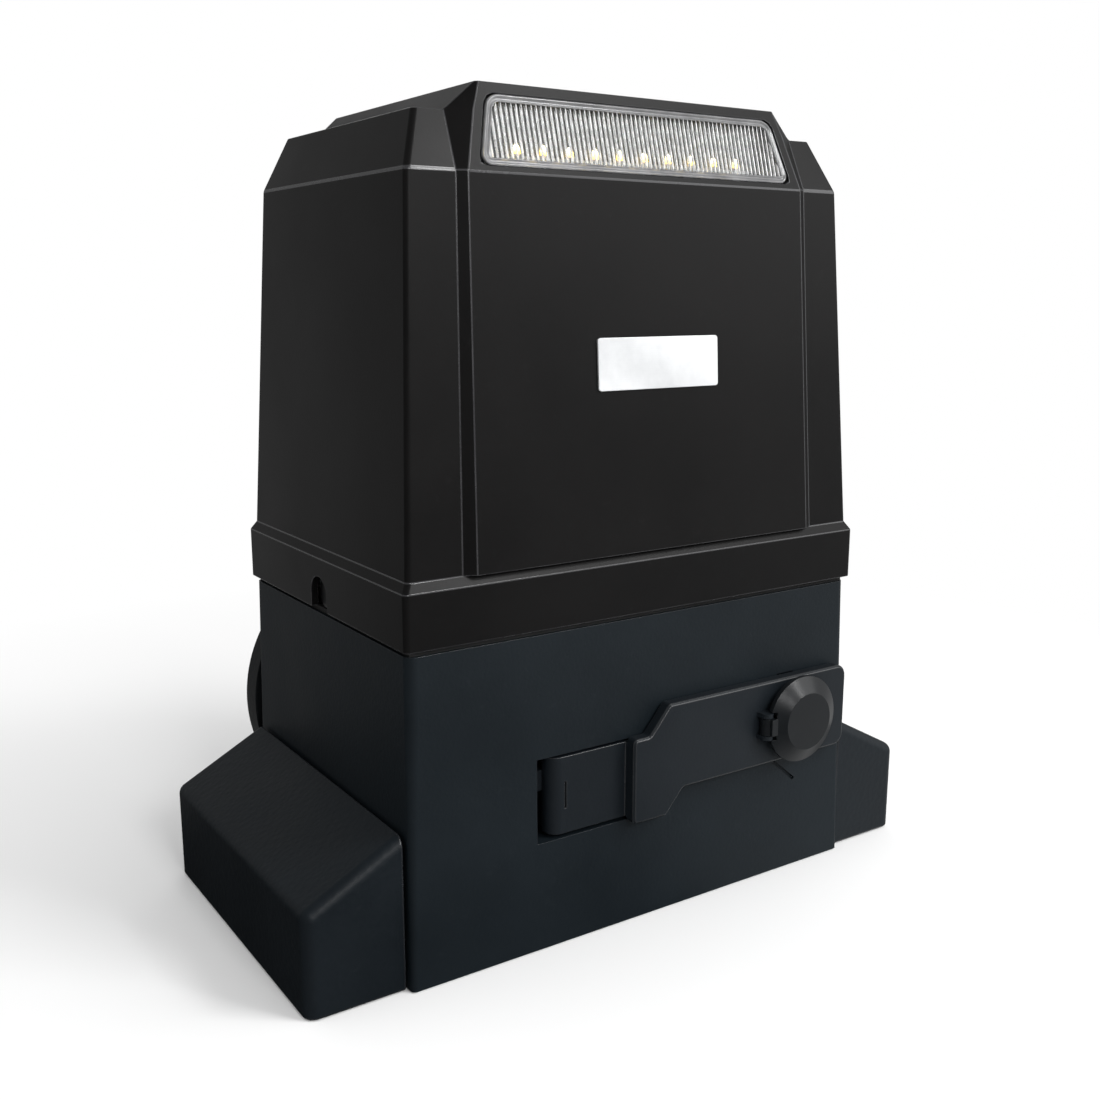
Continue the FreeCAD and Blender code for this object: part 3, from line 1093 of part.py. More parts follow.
def dog_outline(inner, outer, half, turn):
    """One clutch dog: a ring segment between two radii."""
    pts = []
    for r, signs in ((inner, (-1, 0, 1)), (outer, (1, 0, -1))):
        for s in signs:
            a = math.radians(turn + half * s)
            pts.append((r * math.cos(a), r * math.sin(a)))
    return poly(*pts)


dog_half = 360.0 / dog_n.value / 4 - 1.5
dog_in = shaft_r + wall
dog_out = clutch_r - 1
one = pad(wheel, "XZ", wheel_w, wheel_w + dog_h, dog_outline(dog_in, dog_out, dog_half, 0), origin=(out_x, out_z))
pattern(wheel, [one], "PolarPattern", (one.Profile[0], ["N_Axis"]), dog_n)

# Clutch ring, cross pin and push rod slide together along the shaft.
ring = body("clutch_ring")
turned(ring, "YZ", out_x, "H_Axis", rect(ring_y, shaft_r + slide_fit, ring_y + ring_w, clutch_r), origin=(0, out_z))
one = pad(ring, "XZ", ring_y - dog_h, ring_y, dog_outline(dog_in, dog_out, dog_half, 180.0 / dog_n.value), origin=(out_x, out_z))
pattern(ring, [one], "PolarPattern", (one.Profile[0], ["N_Axis"]), dog_n)
pocket(ring, "XY", out_z - clutch_r, out_z + clutch_r, circle(out_x, cross_y, pin_len_r))

# A stack of disc springs between clutch ring and rear bearing closes the clutch.
spring = body("clutch_spring")
spring_y0, spring_y1 = ring_y + ring_w, case_back - spigot + 1
leaf = (spring_y1 - spring_y0) / spring_leaves
spring_in = shaft_r + fit_gap * 3
inner_edge = [(spring_y0 + leaf * k, spring_in + (spring_h - spring_t * 2) * (k % 2)) for k in range(int(spring_leaves.value) + 1)]
turned(spring, "YZ", out_x, "H_Axis", poly(*(inner_edge + [(y, r + spring_t * 2) for y, r in reversed(inner_edge)])), origin=(0, out_z))

cam_tip = pin_y + cam_r + cam_play
push = body("push_rod")
turned(push, "YZ", out_x, "H_Axis",
       poly((cam_tip, 0), (cam_tip, rod_r - 0.6), (cam_tip + 0.6, rod_r), (cross_y + pin_len_r + 2, rod_r), (cross_y + pin_len_r + 2, 0)), origin=(0, out_z))
pocket(push, "XY", out_z - rod_r, out_z + rod_r, circle(out_x, cross_y, pin_len_r))
group("cross_pin", [rod("Z", out_x, cross_y, out_z - clutch_r + 2, pin_len_r, (clutch_r - 2) * 2)])

# ---------------------------------------------------------------- rotor and worm

worm = body("worm_shaft")
lead = module * math.pi
tip_half = module * (math.pi / 4 - math.tan(math.radians(20))) - module * 0.12
root_half = module * (math.pi / 4 + 1.25 * math.tan(math.radians(20))) - module * 0.12
root_r = worm_pd - module * 1.25
thread_low = out_z - lead / 2 - lead * 2
thread_end = thread_low + lead * worm_turns
fan_z = bell_z + fan_up
turned(worm, "XZ", worm_y, "V_Axis",
       poly((0, seat_z), (worm_shaft_r, seat_z), (worm_shaft_r, seat_z + worm_bw), (root_r, seat_z + worm_bw), (root_r, thread_end + lead),
            (worm_shaft_r, thread_end + lead), (worm_shaft_r, fan_z + fan_h + 2), (0, fan_z + fan_h + 2)), origin=(worm_x, 0))
helix = worm.newObject("PartDesign::AdditiveHelix", "worm_thread")
helix.Profile = sketch(worm, "XZ", worm_y,
                       [poly((root_r - 0.3, thread_low - root_half), (worm_pd + module, thread_low - tip_half),
                             (worm_pd + module, thread_low + tip_half), (root_r - 0.3, thread_low + root_half))], (worm_x, 0))
helix.ReferenceAxis = (helix.Profile[0], ["V_Axis"])
helix.Mode = 0
helix.setExpression("Pitch", lead.text)
helix.setExpression("Height", (lead * worm_turns).text)
worm.Tip = helix
finish(worm, helix, False)

rotor = body("motor_rotor")
turned(rotor, "XZ", worm_y, "V_Axis",
       poly((worm_shaft_r, stack_z), (rotor_r * 0.7, stack_z), (rotor_r * 0.7, stack_z - end_ring), (rotor_r - 1, stack_z - end_ring),
            (rotor_r - 1, stack_z), (rotor_r, stack_z), (rotor_r, stack_top), (rotor_r - 1, stack_top), (rotor_r - 1, stack_top + end_ring),
            (rotor_r * 0.7, stack_top + end_ring), (rotor_r * 0.7, stack_top), (worm_shaft_r, stack_top)), origin=(worm_x, 0))

fan = body("motor_fan")
turned(fan, "XZ", worm_y, "V_Axis",
       poly((worm_shaft_r, fan_z), (fan_r, fan_z), (fan_r, fan_z + 2), (worm_shaft_r + 4, fan_z + 2), (worm_shaft_r + 4, fan_z + fan_h),
            (worm_shaft_r, fan_z + fan_h)), origin=(worm_x, 0))
one = pad(fan, "XY", fan_z + 2, fan_z + fan_h, rect(worm_shaft_r + 3, -1, fan_r, 1), origin=(worm_x, worm_y))
pattern(fan, [one], "PolarPattern", (one.Profile[0], ["N_Axis"]), blades)

# ---------------------------------------------------------------- lift-off cover


def octagon(foot_x, foot_y, face_x, face_y):
    """Plan of the centre panel: wide front and back faces with a bevel to each side."""
    return poly((-foot_x, -foot_y), (-face_x, -face_y), (face_x, -face_y), (foot_x, -foot_y),
                (foot_x, foot_y), (face_x, face_y), (-face_x, face_y), (-foot_x, foot_y))


def plan(x, y, radius=None):
    return rounded(-x, -y, x, y, cover_r if radius is None else radius)


cover = body("cover_shell")
pad(cover, "XY", skirt_z, skirt_top, plan(skirt_x, skirt_y))
loft(cover, "XY", [(skirt_top, plan(skirt_x, skirt_y)), (ledge_z, plan(low_x, low_y))])
loft(cover, "XY", [(ledge_z, plan(low_x, low_y)), (roof_z, plan(mid_x, mid_y)), (roof_top, plan(top_x, top_y))])
# Centre panel: up the front, over the top as a ridge and down the back.
low_half, mid_half, top_half = face_low / 2, face_mid / 2, face_top / 2
line_half = mid_half - (mid_half - top_half) * roof_h / (crown_z - roof_z)
line_y = panel_mid_y - slope * roof_h
loft(cover, "XY", [(ledge_z, octagon(low_half + bevel_low, low_y - 0.05, low_half, panel_low_y)),
                   (roof_z, octagon(mid_half + bevel_mid, mid_y - 0.05, mid_half, panel_mid_y)),
                   (roof_top, octagon(mid_half + bevel_mid - 0.6, top_y - 0.05, line_half, line_y)),
                   (crown_z, octagon(top_half, panel_top_y - crown_cut, top_half - crown_cut, panel_top_y))])
# Hollow inside, one wall thickness all round.
t = shell_t
roof_drop = dim(1.2)
loft(cover, "XY", [(skirt_z, plan(skirt_x - t, skirt_y - t)), (skirt_top, plan(skirt_x - t, skirt_y - t)),
                   (ledge_z, plan(low_x - t, low_y - t)), (roof_z - roof_drop, plan(mid_x - t, mid_y - t)),
                   (roof_top - t, plan(top_x - t * 0.7, top_y - t * 0.6))], cut=True)
loft(cover, "XY", [(ledge_z + t, plan(low_half - t / 2, panel_low_y - t)), (roof_z, plan(mid_half - t / 2, panel_mid_y - t)),
                   (crown_z - t, plan(top_half - t / 2, panel_top_y - t * 0.7))], cut=True)
# Light window in the sloping front of the crown.
win_z0, win_z1 = roof_z + win_low, crown_z - win_top


def window(gap):
    """Outline of the window, narrower at the top, with soft corners, drawn in by a gap."""
    z0, z1 = win_z0 + gap, win_z1 - gap
    r = win_r - gap

    def side(z):
        return win_half_low - gap - (win_half_low - win_half_top) * (z - z0) / (z1 - z0)
    right = [(side(z0) - r, z0), (side(z0) - r * 0.3, z0 + r * 0.3), (side(z0 + r), z0 + r),
             (side(z1 - r), z1 - r), (side(z1) - r * 0.3, z1 - r * 0.3), (side(z1) - r, z1)]
    return poly(*(right + [(-x, z) for x, z in reversed(right)]))


pocket(cover, "XZ", -panel_low_y, -top_y + t, window(dim(0)))
# Screw notches, open below, low in both sides of the skirt.
for side in (-1, 1):
    low, high = (skirt_x - t - 1, skirt_x + 1) if side > 0 else (-skirt_x - 1, -skirt_x + t + 1)
    pocket(cover, "YZ", low, high, rect(-notch_w / 2, skirt_z, notch_w / 2, skirt_z + notch_h - notch_w / 2))
    pocket(cover, "YZ", low, high, circle(0, skirt_z + notch_h - notch_w / 2, notch_w / 2))

# Lens: fills the window, its face on the same slope.
lens = body("light_lens")
g = lens_gap
pad(lens, "YZ", -win_half_low + g, win_half_low - g,
    poly((-window_y(win_z0 + g), win_z0 + g), (-window_y(win_z1 - g), win_z1 - g),
         (-window_y(win_z1 - g) + lens_t, win_z1 - g), (-window_y(win_z0 + g) + lens_t, win_z0 + g)))
pocket(lens, "XZ", -panel_low_y, 0, rect(-win_half_low - 5, win_z0 - 5, win_half_low + 5, win_z1 + 5), window(g))

# White tray behind the lens with the LED board on its floor.
tray_half = top_half - t - 1
tray_z0, tray_z1 = win_z0 + 1, win_z1 - 1
tray_front = -window_y(tray_z1) + lens_t + 0.6
tray_back = tray_front + tray_depth
tray = body("light_tray")
pad(tray, "XZ", tray_front, tray_back, rect(-tray_half, tray_z0, tray_half, tray_z1))
loft(tray, "XZ", [(tray_front, rect(-tray_half + tray_t, tray_z0 + tray_t, tray_half - tray_t, tray_z1 - tray_t)),
                  (tray_back - tray_t, rect(-tray_half + tray_t * 2, tray_z0 + tray_t, tray_half - tray_t * 2, tray_z1 - tray_t * 3))], cut=True)
led_w = led_pitch * (led_count - 1)
strip_half = led_w / 2 + led_pitch / 2
strip_z = tray_z0 + tray_t
strip = body("light_board")
pad(strip, "XY", strip_z, strip_z + pcb_t, rect(led_mid - strip_half, tray_back - tray_t - strip_d, led_mid + strip_half, tray_back - tray_t))
leds = body("leds")
leds.AllowCompound = True
led_y = tray_back - tray_t - strip_d / 2
one = pad(leds, "XY", strip_z + pcb_t, strip_z + pcb_t + led_size / 2,
          rect(led_mid - led_w / 2 - led_size / 2, led_y - led_size / 2, led_mid - led_w / 2 + led_size / 2, led_y + led_size / 2))
pattern(leds, [one], "LinearPattern", (one.Profile[0], ["H_Axis"]), led_count, length=led_w)

# Bare badge plate on the centre panel.
badge = body("badge_plate")
b0 = ledge_z + badge_z
b1 = b0 + badge_h
pad(badge, "YZ", badge_x - badge_w / 2, badge_x + badge_w / 2,
    poly((-panel_y(b0), b0), (-panel_y(b1), b1), (-panel_y(b1) - badge_t, b1), (-panel_y(b0) - badge_t, b0)))
dress(badge, "Fillet", badge_r, lambda e: along("Y")(e) and e.Length < badge_t.value * 2)

# ---------------------------------------------------------------- foot covers

for label, side in (("foot_cover_left", -1), ("foot_cover_right", 1)):
    foot = body(label)
    near, far = base_w / 2 + foot_gap, base_w / 2 + foot_gap + foot_reach
    half = foot_d / 2
    pad(foot, "XZ", -half, half, poly((near * side, 0), (far * side, 0), (far * side, foot_out_h), (near * side, foot_in_h)))
    dress(foot, "Fillet", foot_r, lambda e: (along("Z")(e) and abs(e.CenterOfMass.x) > far.value - 0.5)
          or (e.CenterOfMass.z > foot_out_h.value - 0.5 and abs(e.CenterOfMass.x) > near.value + 0.5 and len(e.Vertexes) == 2))
    w = foot_wall
    fall = (foot_in_h - foot_out_h) / foot_reach
    pocket(foot, "XZ", -half + w, half - w,
           poly((near * side, 0), ((far - w) * side, 0), ((far - w) * side, foot_out_h - w), (near * side, foot_in_h - w - fall * w)))
    # Ribs inside rest on the flange.
    rib_z = flange_t + fit_gap
    for y in (-foot_rib_y, foot_rib_y):
        pad(foot, "XZ", y - w / 2, y + w / 2,
            poly(((near + 1) * side, rib_z), ((far - w / 2) * side, rib_z), ((far - w / 2) * side, foot_out_h - w / 2),
                 ((near + 1) * side, foot_in_h - w * 1.2)))

# ---------------------------------------------------------------- check and write

doc.recompute()
for obj in doc.Objects:
    if "Invalid" in obj.State or "Error" in obj.State:
        raise RuntimeError("%s is in state %s" % (obj.Label, obj.State))
os.makedirs("parts", exist_ok=True)
faces = 0
for node in nodes:
    shape = node.Shape
    if shape.isNull() or not shape.isValid() or not shape.Solids:
        raise RuntimeError("bad shape in " + node.Label)
    if any(s.Volume <= 0 for s in shape.Solids):
        raise RuntimeError("empty solid in " + node.Label)
    Part.makeCompound(shape.Solids).exportStep("parts/%s.step" % node.Label) if len(shape.Solids) > 1 else \
        shape.Solids[0].exportStep("parts/%s.step" % node.Label)
    faces += len(shape.Faces)
print("%d pieces written, %d faces" % (len(nodes), faces))
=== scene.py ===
import math

import bmesh
import bpy
from mathutils import Matrix, Vector


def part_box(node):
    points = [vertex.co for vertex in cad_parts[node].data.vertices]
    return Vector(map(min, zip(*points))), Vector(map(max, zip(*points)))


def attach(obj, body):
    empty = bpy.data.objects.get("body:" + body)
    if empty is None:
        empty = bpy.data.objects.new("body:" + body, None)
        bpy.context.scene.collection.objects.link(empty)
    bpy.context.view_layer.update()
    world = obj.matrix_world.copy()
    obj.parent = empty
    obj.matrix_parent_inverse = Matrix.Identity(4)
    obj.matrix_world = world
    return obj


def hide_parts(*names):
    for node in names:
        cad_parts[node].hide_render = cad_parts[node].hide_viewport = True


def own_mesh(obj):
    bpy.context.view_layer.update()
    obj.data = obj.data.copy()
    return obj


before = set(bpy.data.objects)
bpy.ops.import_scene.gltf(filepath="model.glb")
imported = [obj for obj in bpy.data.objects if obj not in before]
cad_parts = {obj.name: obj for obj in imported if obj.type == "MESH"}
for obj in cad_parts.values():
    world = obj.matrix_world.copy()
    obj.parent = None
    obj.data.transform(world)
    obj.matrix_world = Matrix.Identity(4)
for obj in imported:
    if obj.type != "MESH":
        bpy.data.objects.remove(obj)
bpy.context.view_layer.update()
MM = 0.001

# ------------------------------------------------------------------ base housing
# The base is one die casting in aluminium, powder coated blue-black. The coat is a fine
# even grain, a little heavier on the flat faces, and every outer edge is slightly round.


def effect(name, inputs, outputs):
    """An empty shader group with its named sockets: its nodes, its links and its two ends."""
    group = bpy.data.node_groups.new(name, "ShaderNodeTree")
    for label, kind, value in inputs:
        group.interface.new_socket(label, in_out="INPUT", socket_type=kind).default_value = value
    for label, kind in outputs:
        group.interface.new_socket(label, in_out="OUTPUT", socket_type=kind)
    return group, group.nodes.new("NodeGroupInput").outputs, group.nodes.new("NodeGroupOutput").inputs


def node(tree, kind, inputs=(), **settings):
    """A new shader node; an input is given a value, or another node's output to follow."""
    made = tree.nodes.new("ShaderNode" + kind)
    for key, value in settings.items():
        setattr(made, key, value)
    for key, value in dict(inputs).items():
        if isinstance(value, bpy.types.NodeSocket):
            tree.links.new(value, made.inputs[key])
        else:
            made.inputs[key].default_value = value
    return made


def blank(name):
    """A new material with its node tree and its shader."""
    made = bpy.data.materials.new(name)
    made.use_nodes = True
    return made, made.node_tree, made.node_tree.nodes["Principled BSDF"]


def grain_group():
    """Moulded or coated skin: a fine grain over soft pits, and slow patches of shine."""
    group, given, put = effect("moulded_grain",
                               [("Fine", "NodeSocketFloat", 900.0), ("Pits", "NodeSocketFloat", 420.0),
                                                 ("Patches", "NodeSocketFloat", 14.0),
                                ("Pit share", "NodeSocketFloat", 0.5)],
                               [("Height", "NodeSocketFloat"), ("Patch", "NodeSocketFloat"),
                                ("Dust", "NodeSocketFloat")])
    place = node(group, "TexCoord").outputs["Object"]
    fine = node(group, "TexNoise",
                {"Vector": place, "Scale": given["Fine"], "Detail": 3.0, "Roughness": 0.6})
    pits = node(group, "TexVoronoi", {"Vector": place, "Scale": given["Pits"], "Smoothness": 0.6},
                feature="SMOOTH_F1")
    mixed = node(group, "Mix",
                 {"Factor": given["Pit share"], "A": fine.outputs["Fac"], "B": pits.outputs["Distance"]})
    patch = node(group, "TexNoise",
                 {"Vector": place, "Scale": given["Patches"], "Detail": 4.0, "Roughness": 0.55})
    specks = node(group, "TexNoise", {"Vector": place, "Scale": 260.0, "Detail": 2.0})
    dust = node(group, "MapRange", {"Value": specks.outputs["Fac"], "From Min": 0.66, "From Max": 0.76})
    group.links.new(mixed.outputs["Result"], put["Height"])
    group.links.new(patch.outputs["Fac"], put["Patch"])
    group.links.new(dust.outputs["Result"], put["Dust"])
    return group


GRAIN = grain_group()


def skin(name, dark, light, rough, depth, fine=900.0, pits=420.0, pit_share=0.5, patches=14.0,
         metallic=0.0, specular=0.5, dust=0.25):
    """A material for a moulded, cast or coated surface: two near colours, a spread of shine and a grain."""
    made, tree, shader = blank(name)
    grain = tree.nodes.new("ShaderNodeGroup")
    grain.node_tree = GRAIN
    for key, value in (("Fine", fine), ("Pits", pits), ("Patches", patches), ("Pit share", pit_share)):
        grain.inputs[key].default_value = value
    spread = node(tree, "MapRange", {"Value": grain.outputs["Patch"], "From Min": 0.3, "From Max": 0.7})
    colour = node(tree, "Mix", {"Factor": spread.outputs["Result"], "A": (*dark, 1), "B": (*light, 1)},
                  data_type="RGBA")
    pale = tuple(min(1, c * 1.6 + 0.02) for c in light)
    dusty = node(tree, "MapRange", {"Value": grain.outputs["Dust"], "To Max": dust})
    final = node(tree, "Mix", {"Factor": dusty.outputs["Result"], "A": colour.outputs["Result"],
                               "B": (*pale, 1)}, data_type="RGBA")
    shine = node(tree, "MapRange", {"Value": grain.outputs["Patch"], "From Min": 0.3, "From Max": 0.7,
                                    "To Min": rough[0], "To Max": rough[1]})
    bump = node(tree, "Bump", {"Height": grain.outputs["Height"], "Distance": depth * MM, "Strength": 0.9})
    tree.links.new(final.outputs["Result"], shader.inputs["Base Color"])
    tree.links.new(shine.outputs["Result"], shader.inputs["Roughness"])
    tree.links.new(bump.outputs["Normal"], shader.inputs["Normal"])
    shader.inputs["Metallic"].default_value = metallic
    shader.inputs["Specular IOR Level"].default_value = specular
    return made


def piece_from(bm, name, *materials):
    """Ends a bmesh: its mesh, with its materials, becomes a piece of the scene."""
    mesh = bpy.data.meshes.new(name)
    bm.to_mesh(mesh)
    bm.free()
    for material in materials:
        mesh.materials.append(material)
    piece = bpy.data.objects.new(name, mesh)
    bpy.context.scene.collection.objects.link(piece)
    return piece


def wear(label, material):
    """Puts a material on a CAD node that keeps its own shape."""
    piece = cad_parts[label]
    piece.data.materials.clear()
    piece.data.materials.append(material)
    return piece


def worn_edge_with_painted_highlight(name, tone):
    """The same plastic or paint on a rounded edge, paler and smoother: partly wear where handling has
    polished it, and partly a painted highlight along the edge.
    """
    return skin(name, tuple(c * 0.8 for c in tone), tone, (0.20, 0.30), 0.012, fine=1800.0, patches=60.0,
                dust=0.0)


def softened(label, name, body, material, width, angle=32, segments=3, edge=None, heavy=None, merge=0.6):
    """A copy of a node with its loose triangles joined and its sharp edges rounded, in its place.

    Width and merge are in mm and degrees; only edges over the angle are rounded. Where heavy is
    given, it picks the edges that get the full width."""
    bm = bmesh.new()
    bm.from_mesh(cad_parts[label].data)
    bmesh.ops.remove_doubles(bm, verts=bm.verts, dist=0.004 * MM)
    bmesh.ops.dissolve_limit(bm, angle_limit=math.radians(merge), verts=bm.verts, edges=bm.edges,
                             use_dissolve_boundaries=False)
    bmesh.ops.dissolve_degenerate(bm, dist=0.05 * MM, edges=bm.edges)
    weight = bm.edges.layers.float.new("bevel_weight_edge")
    light_share = 0.42  # of the full width, on the edges that aren't the heavy ones
    for face in bm.faces:
        face.smooth = True
    for e in bm.edges:
        if e.calc_face_angle(0) > math.radians(angle):
            e.smooth = False
            e[weight] = 1.0 if not heavy or heavy(e) else light_share
    piece = piece_from(bm, name, *[m for m in (material, edge) if m])
    bevel = piece.modifiers.new("rounded edges", "BEVEL")
    bevel.limit_method, bevel.width, bevel.segments = "WEIGHT", width * MM, segments
    bevel.harden_normals, bevel.use_clamp_overlap = True, not heavy
    bevel.material = 1 if edge else -1
    flat = piece.modifiers.new("flat broad faces", "WEIGHTED_NORMAL")
    flat.weight, flat.keep_sharp = 90, True
    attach(piece, body)
    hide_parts(label)
    return piece


base_coat = skin("powder_coat_blue_black", (0.0048, 0.0078, 0.0104), (0.0070, 0.0112, 0.0148),
                 (0.46, 0.56), 0.08,
                 fine=1100.0, pits=620.0, specular=0.20, dust=0.08)
# The paler colour on the casting's rounded edges is partly wear and partly a painted highlight.
softened("base_housing", "base_casting", "base", base_coat, 0.7,
         edge=worn_edge_with_painted_highlight("powder_coat_edge_wear_and_painted_highlight", (0.022, 0.025, 0.029)))

# ------------------------------------------------------------------ fixings of the base
# Zinc-plated steel: the two cover screws, the levelling screws in the flanges and the pin
# that the lever turns on. Plating is bright, with faint turning marks and a bluish cast.


def marks_group():
    """Machined metal: fine parallel tool marks, with slow stains across them."""
    group, given, put = effect("tool_marks", [("Across", "NodeSocketVector", (900.0, 900.0, 20.0)),
                                              ("Stains", "NodeSocketFloat", 40.0)],
                               [("Height", "NodeSocketFloat"), ("Stain", "NodeSocketFloat")])
    place = node(group, "TexCoord").outputs["Object"]
    along = node(group, "Mapping", {"Vector": place, "Scale": given["Across"]})
    lines = node(group, "TexNoise",
                 {"Vector": along.outputs["Vector"], "Scale": 1.0, "Detail": 4.0, "Roughness": 0.7})
    stain = node(group, "TexNoise",
                 {"Vector": place, "Scale": given["Stains"], "Detail": 5.0, "Roughness": 0.6})
    group.links.new(lines.outputs["Fac"], put["Height"])
    group.links.new(stain.outputs["Fac"], put["Stain"])
    return group


MARKS = marks_group()


def metal(name, dark, light, rough, depth=0.02, across=(900.0, 900.0, 20.0), stains=40.0):
    """A machined, drawn or plated metal whose tool marks run along one axis."""
    made, tree, shader = blank(name)
    marks = tree.nodes.new("ShaderNodeGroup")
    marks.node_tree = MARKS
    marks.inputs["Across"].default_value = across
    marks.inputs["Stains"].default_value = stains
    spread = node(tree, "MapRange", {"Value": marks.outputs["Stain"], "From Min": 0.3, "From Max": 0.7})
    colour = node(tree, "Mix", {"Factor": spread.outputs["Result"], "A": (*dark, 1), "B": (*light, 1)},
                  data_type="RGBA")
    both = node(tree, "Mix", {"Factor": 0.55, "A": marks.outputs["Stain"], "B": marks.outputs["Height"]})
    shine = node(tree, "MapRange", {"Value": both.outputs["Result"], "From Min": 0.3, "From Max": 0.7,
                                    "To Min": rough[0], "To Max": rough[1]})
    bump = node(tree, "Bump", {"Height": marks.outputs["Height"], "Distance": depth * MM, "Strength": 0.8})
    tree.links.new(colour.outputs["Result"], shader.inputs["Base Color"])
    tree.links.new(shine.outputs["Result"], shader.inputs["Roughness"])
    tree.links.new(bump.outputs["Normal"], shader.inputs["Normal"])
    shader.inputs["Metallic"].default_value = 1.0
    return made


zinc = metal("zinc_plated_steel", (0.42, 0.43, 0.45), (0.60, 0.61, 0.63), (0.22, 0.42))
for label in ("levelling_screws", "hinge_pin"):
    wear(label, zinc)
wear("cover_screws", metal("blackened_steel", (0.030, 0.030, 0.032), (0.075, 0.075, 0.080), (0.30, 0.48)))

# ------------------------------------------------------------------ cable entry and rim seal
# Black moulded rubber: a grommet in the floor for the supply, and a square cord of foam
# rubber laid on the rim so that the cover closes against rain.

rubber = skin("black_rubber", (0.010, 0.010, 0.010), (0.020, 0.020, 0.020), (0.62, 0.80), 0.12,
              fine=1500.0, specular=0.3)
wear("cable_grommet", rubber)
wear("rim_seal", rubber)

# ------------------------------------------------------------------ gear case and its cover
# Pressure die castings in aluminium. The gear case is left bare: sandy skin, dull silver. The
# rear cover, whose screwed flange shows behind the base, is coated black.

cast = skin("cast_aluminium", (0.36, 0.37, 0.38), (0.47, 0.48, 0.49), (0.42, 0.60), 0.22, fine=500.0,
            pits=260.0,
            metallic=1.0, dust=0.15)
wear("gear_case", cast)
softened("gear_cover", "gear_cover_casting", "base",
         skin("cast_cover_coated", (0.0050, 0.0060, 0.0070), (0.0080, 0.0094, 0.0108), (0.42, 0.56), 0.16,
              fine=700.0,
              pits=360.0, specular=0.18, dust=0.08), 0.5)
wear("gear_cover_screws",
     metal("black_oxide_steel", (0.032, 0.032, 0.034), (0.12, 0.12, 0.125), (0.28, 0.44)))
steel = metal("ground_steel", (0.48, 0.48, 0.49), (0.62, 0.62, 0.63), (0.16, 0.30),
              across=(60.0, 1400.0, 60.0))
for label in ("front_bearing", "rear_bearing", "worm_bearing_lower", "motor_bearing_upper"):
    wear(label, steel)
wear("oil_seal", skin("seal_rubber", (0.030, 0.014, 0.010), (0.050, 0.022, 0.016), (0.45, 0.62), 0.06,
                      fine=1400.0))

# ------------------------------------------------------------------ deck plate and motor
# The deck is a zinc-plated steel sheet. The motor stands on it: a stack of thin steel
# laminations with a copper winding between two cast aluminium end bells.

wear("deck_plate", metal("rolled_zinc_sheet", (0.45, 0.46, 0.46), (0.60, 0.61, 0.60), (0.30, 0.50),
                         across=(12.0, 700.0, 700.0), stains=22.0))
for label in ("motor_end_lower", "motor_end_upper"):
    wear(label, cast)


def layered(name, colour, gap, pitch, axis, rough, metallic, depth):
    """Thin sheets or turns laid side by side: bands across one axis with a dark gap between them."""
    made, tree, shader = blank(name)
    place = node(tree, "TexCoord").outputs["Object"]
    wave = node(tree, "TexWave",
                {"Vector": place, "Scale": 0.3142 / (pitch * MM) / 2, "Distortion": 0.4, "Detail": 2.0},
                wave_type="BANDS", bands_direction=axis)
    groove = node(tree, "MapRange", {"Value": wave.outputs["Fac"], "From Min": 0.0, "From Max": 0.35})
    stain = node(tree, "TexNoise", {"Vector": place, "Scale": 60.0, "Detail": 4.0})
    worn = node(tree, "Mix", {"Factor": stain.outputs["Fac"], "A": (*colour, 1),
                              "B": (*(c * 0.6 for c in colour), 1)}, data_type="RGBA")
    final = node(tree, "Mix", {"Factor": groove.outputs["Result"], "A": (*gap, 1),
                               "B": worn.outputs["Result"]}, data_type="RGBA")
    shine = node(tree, "MapRange", {"Value": stain.outputs["Fac"], "From Min": 0.3, "From Max": 0.7,
                                    "To Min": rough[0], "To Max": rough[1]})
    bump = node(tree, "Bump", {"Height": wave.outputs["Fac"], "Distance": depth * MM, "Strength": 0.9})
    tree.links.new(final.outputs["Result"], shader.inputs["Base Color"])
    tree.links.new(shine.outputs["Result"], shader.inputs["Roughness"])
    tree.links.new(bump.outputs["Normal"], shader.inputs["Normal"])
    shader.inputs["Metallic"].default_value = metallic
    return made


laminated = layered("laminated_steel", (0.30, 0.30, 0.31), (0.04, 0.04, 0.045), 0.65, "Z", (0.35, 0.55),
                    1.0, 0.15)
wear("motor_stator", laminated)
wear("transformer_core", laminated)
wear("motor_windings",
     layered("copper_windings", (0.62, 0.24, 0.09), (0.10, 0.03, 0.01), 0.8, "Z", (0.28, 0.42), 0.9, 0.3))
wear("tie_bolts", zinc)
wear("motor_fan", skin("fan_nylon", (0.020, 0.020, 0.021), (0.032, 0.032, 0.034), (0.40, 0.55), 0.05))
wear("motor_rotor", metal("rotor_steel", (0.33, 0.33, 0.34), (0.46, 0.46, 0.47), (0.22, 0.38),
                          across=(50.0, 50.0, 1300.0)))

# ------------------------------------------------------------------ transformer and capacitor
# The transformer coil is wound on a moulded former under yellow polyester tape. The start
# capacitor is a pale plastic can with a crimped top.

wear("transformer_coil",
     layered("coil_tape", (0.72, 0.45, 0.06), (0.40, 0.22, 0.02), 6.0, "Z", (0.30, 0.42), 0.0, 0.1))
wear("start_capacitor",
     skin("capacitor_can", (0.55, 0.56, 0.56), (0.66, 0.67, 0.67), (0.32, 0.44), 0.03, patches=20.0))

# ------------------------------------------------------------------ control board
# A glass-epoxy board with green solder mask on two folded steel brackets, with pluggable
# green terminals along its foot and blue relays above them.


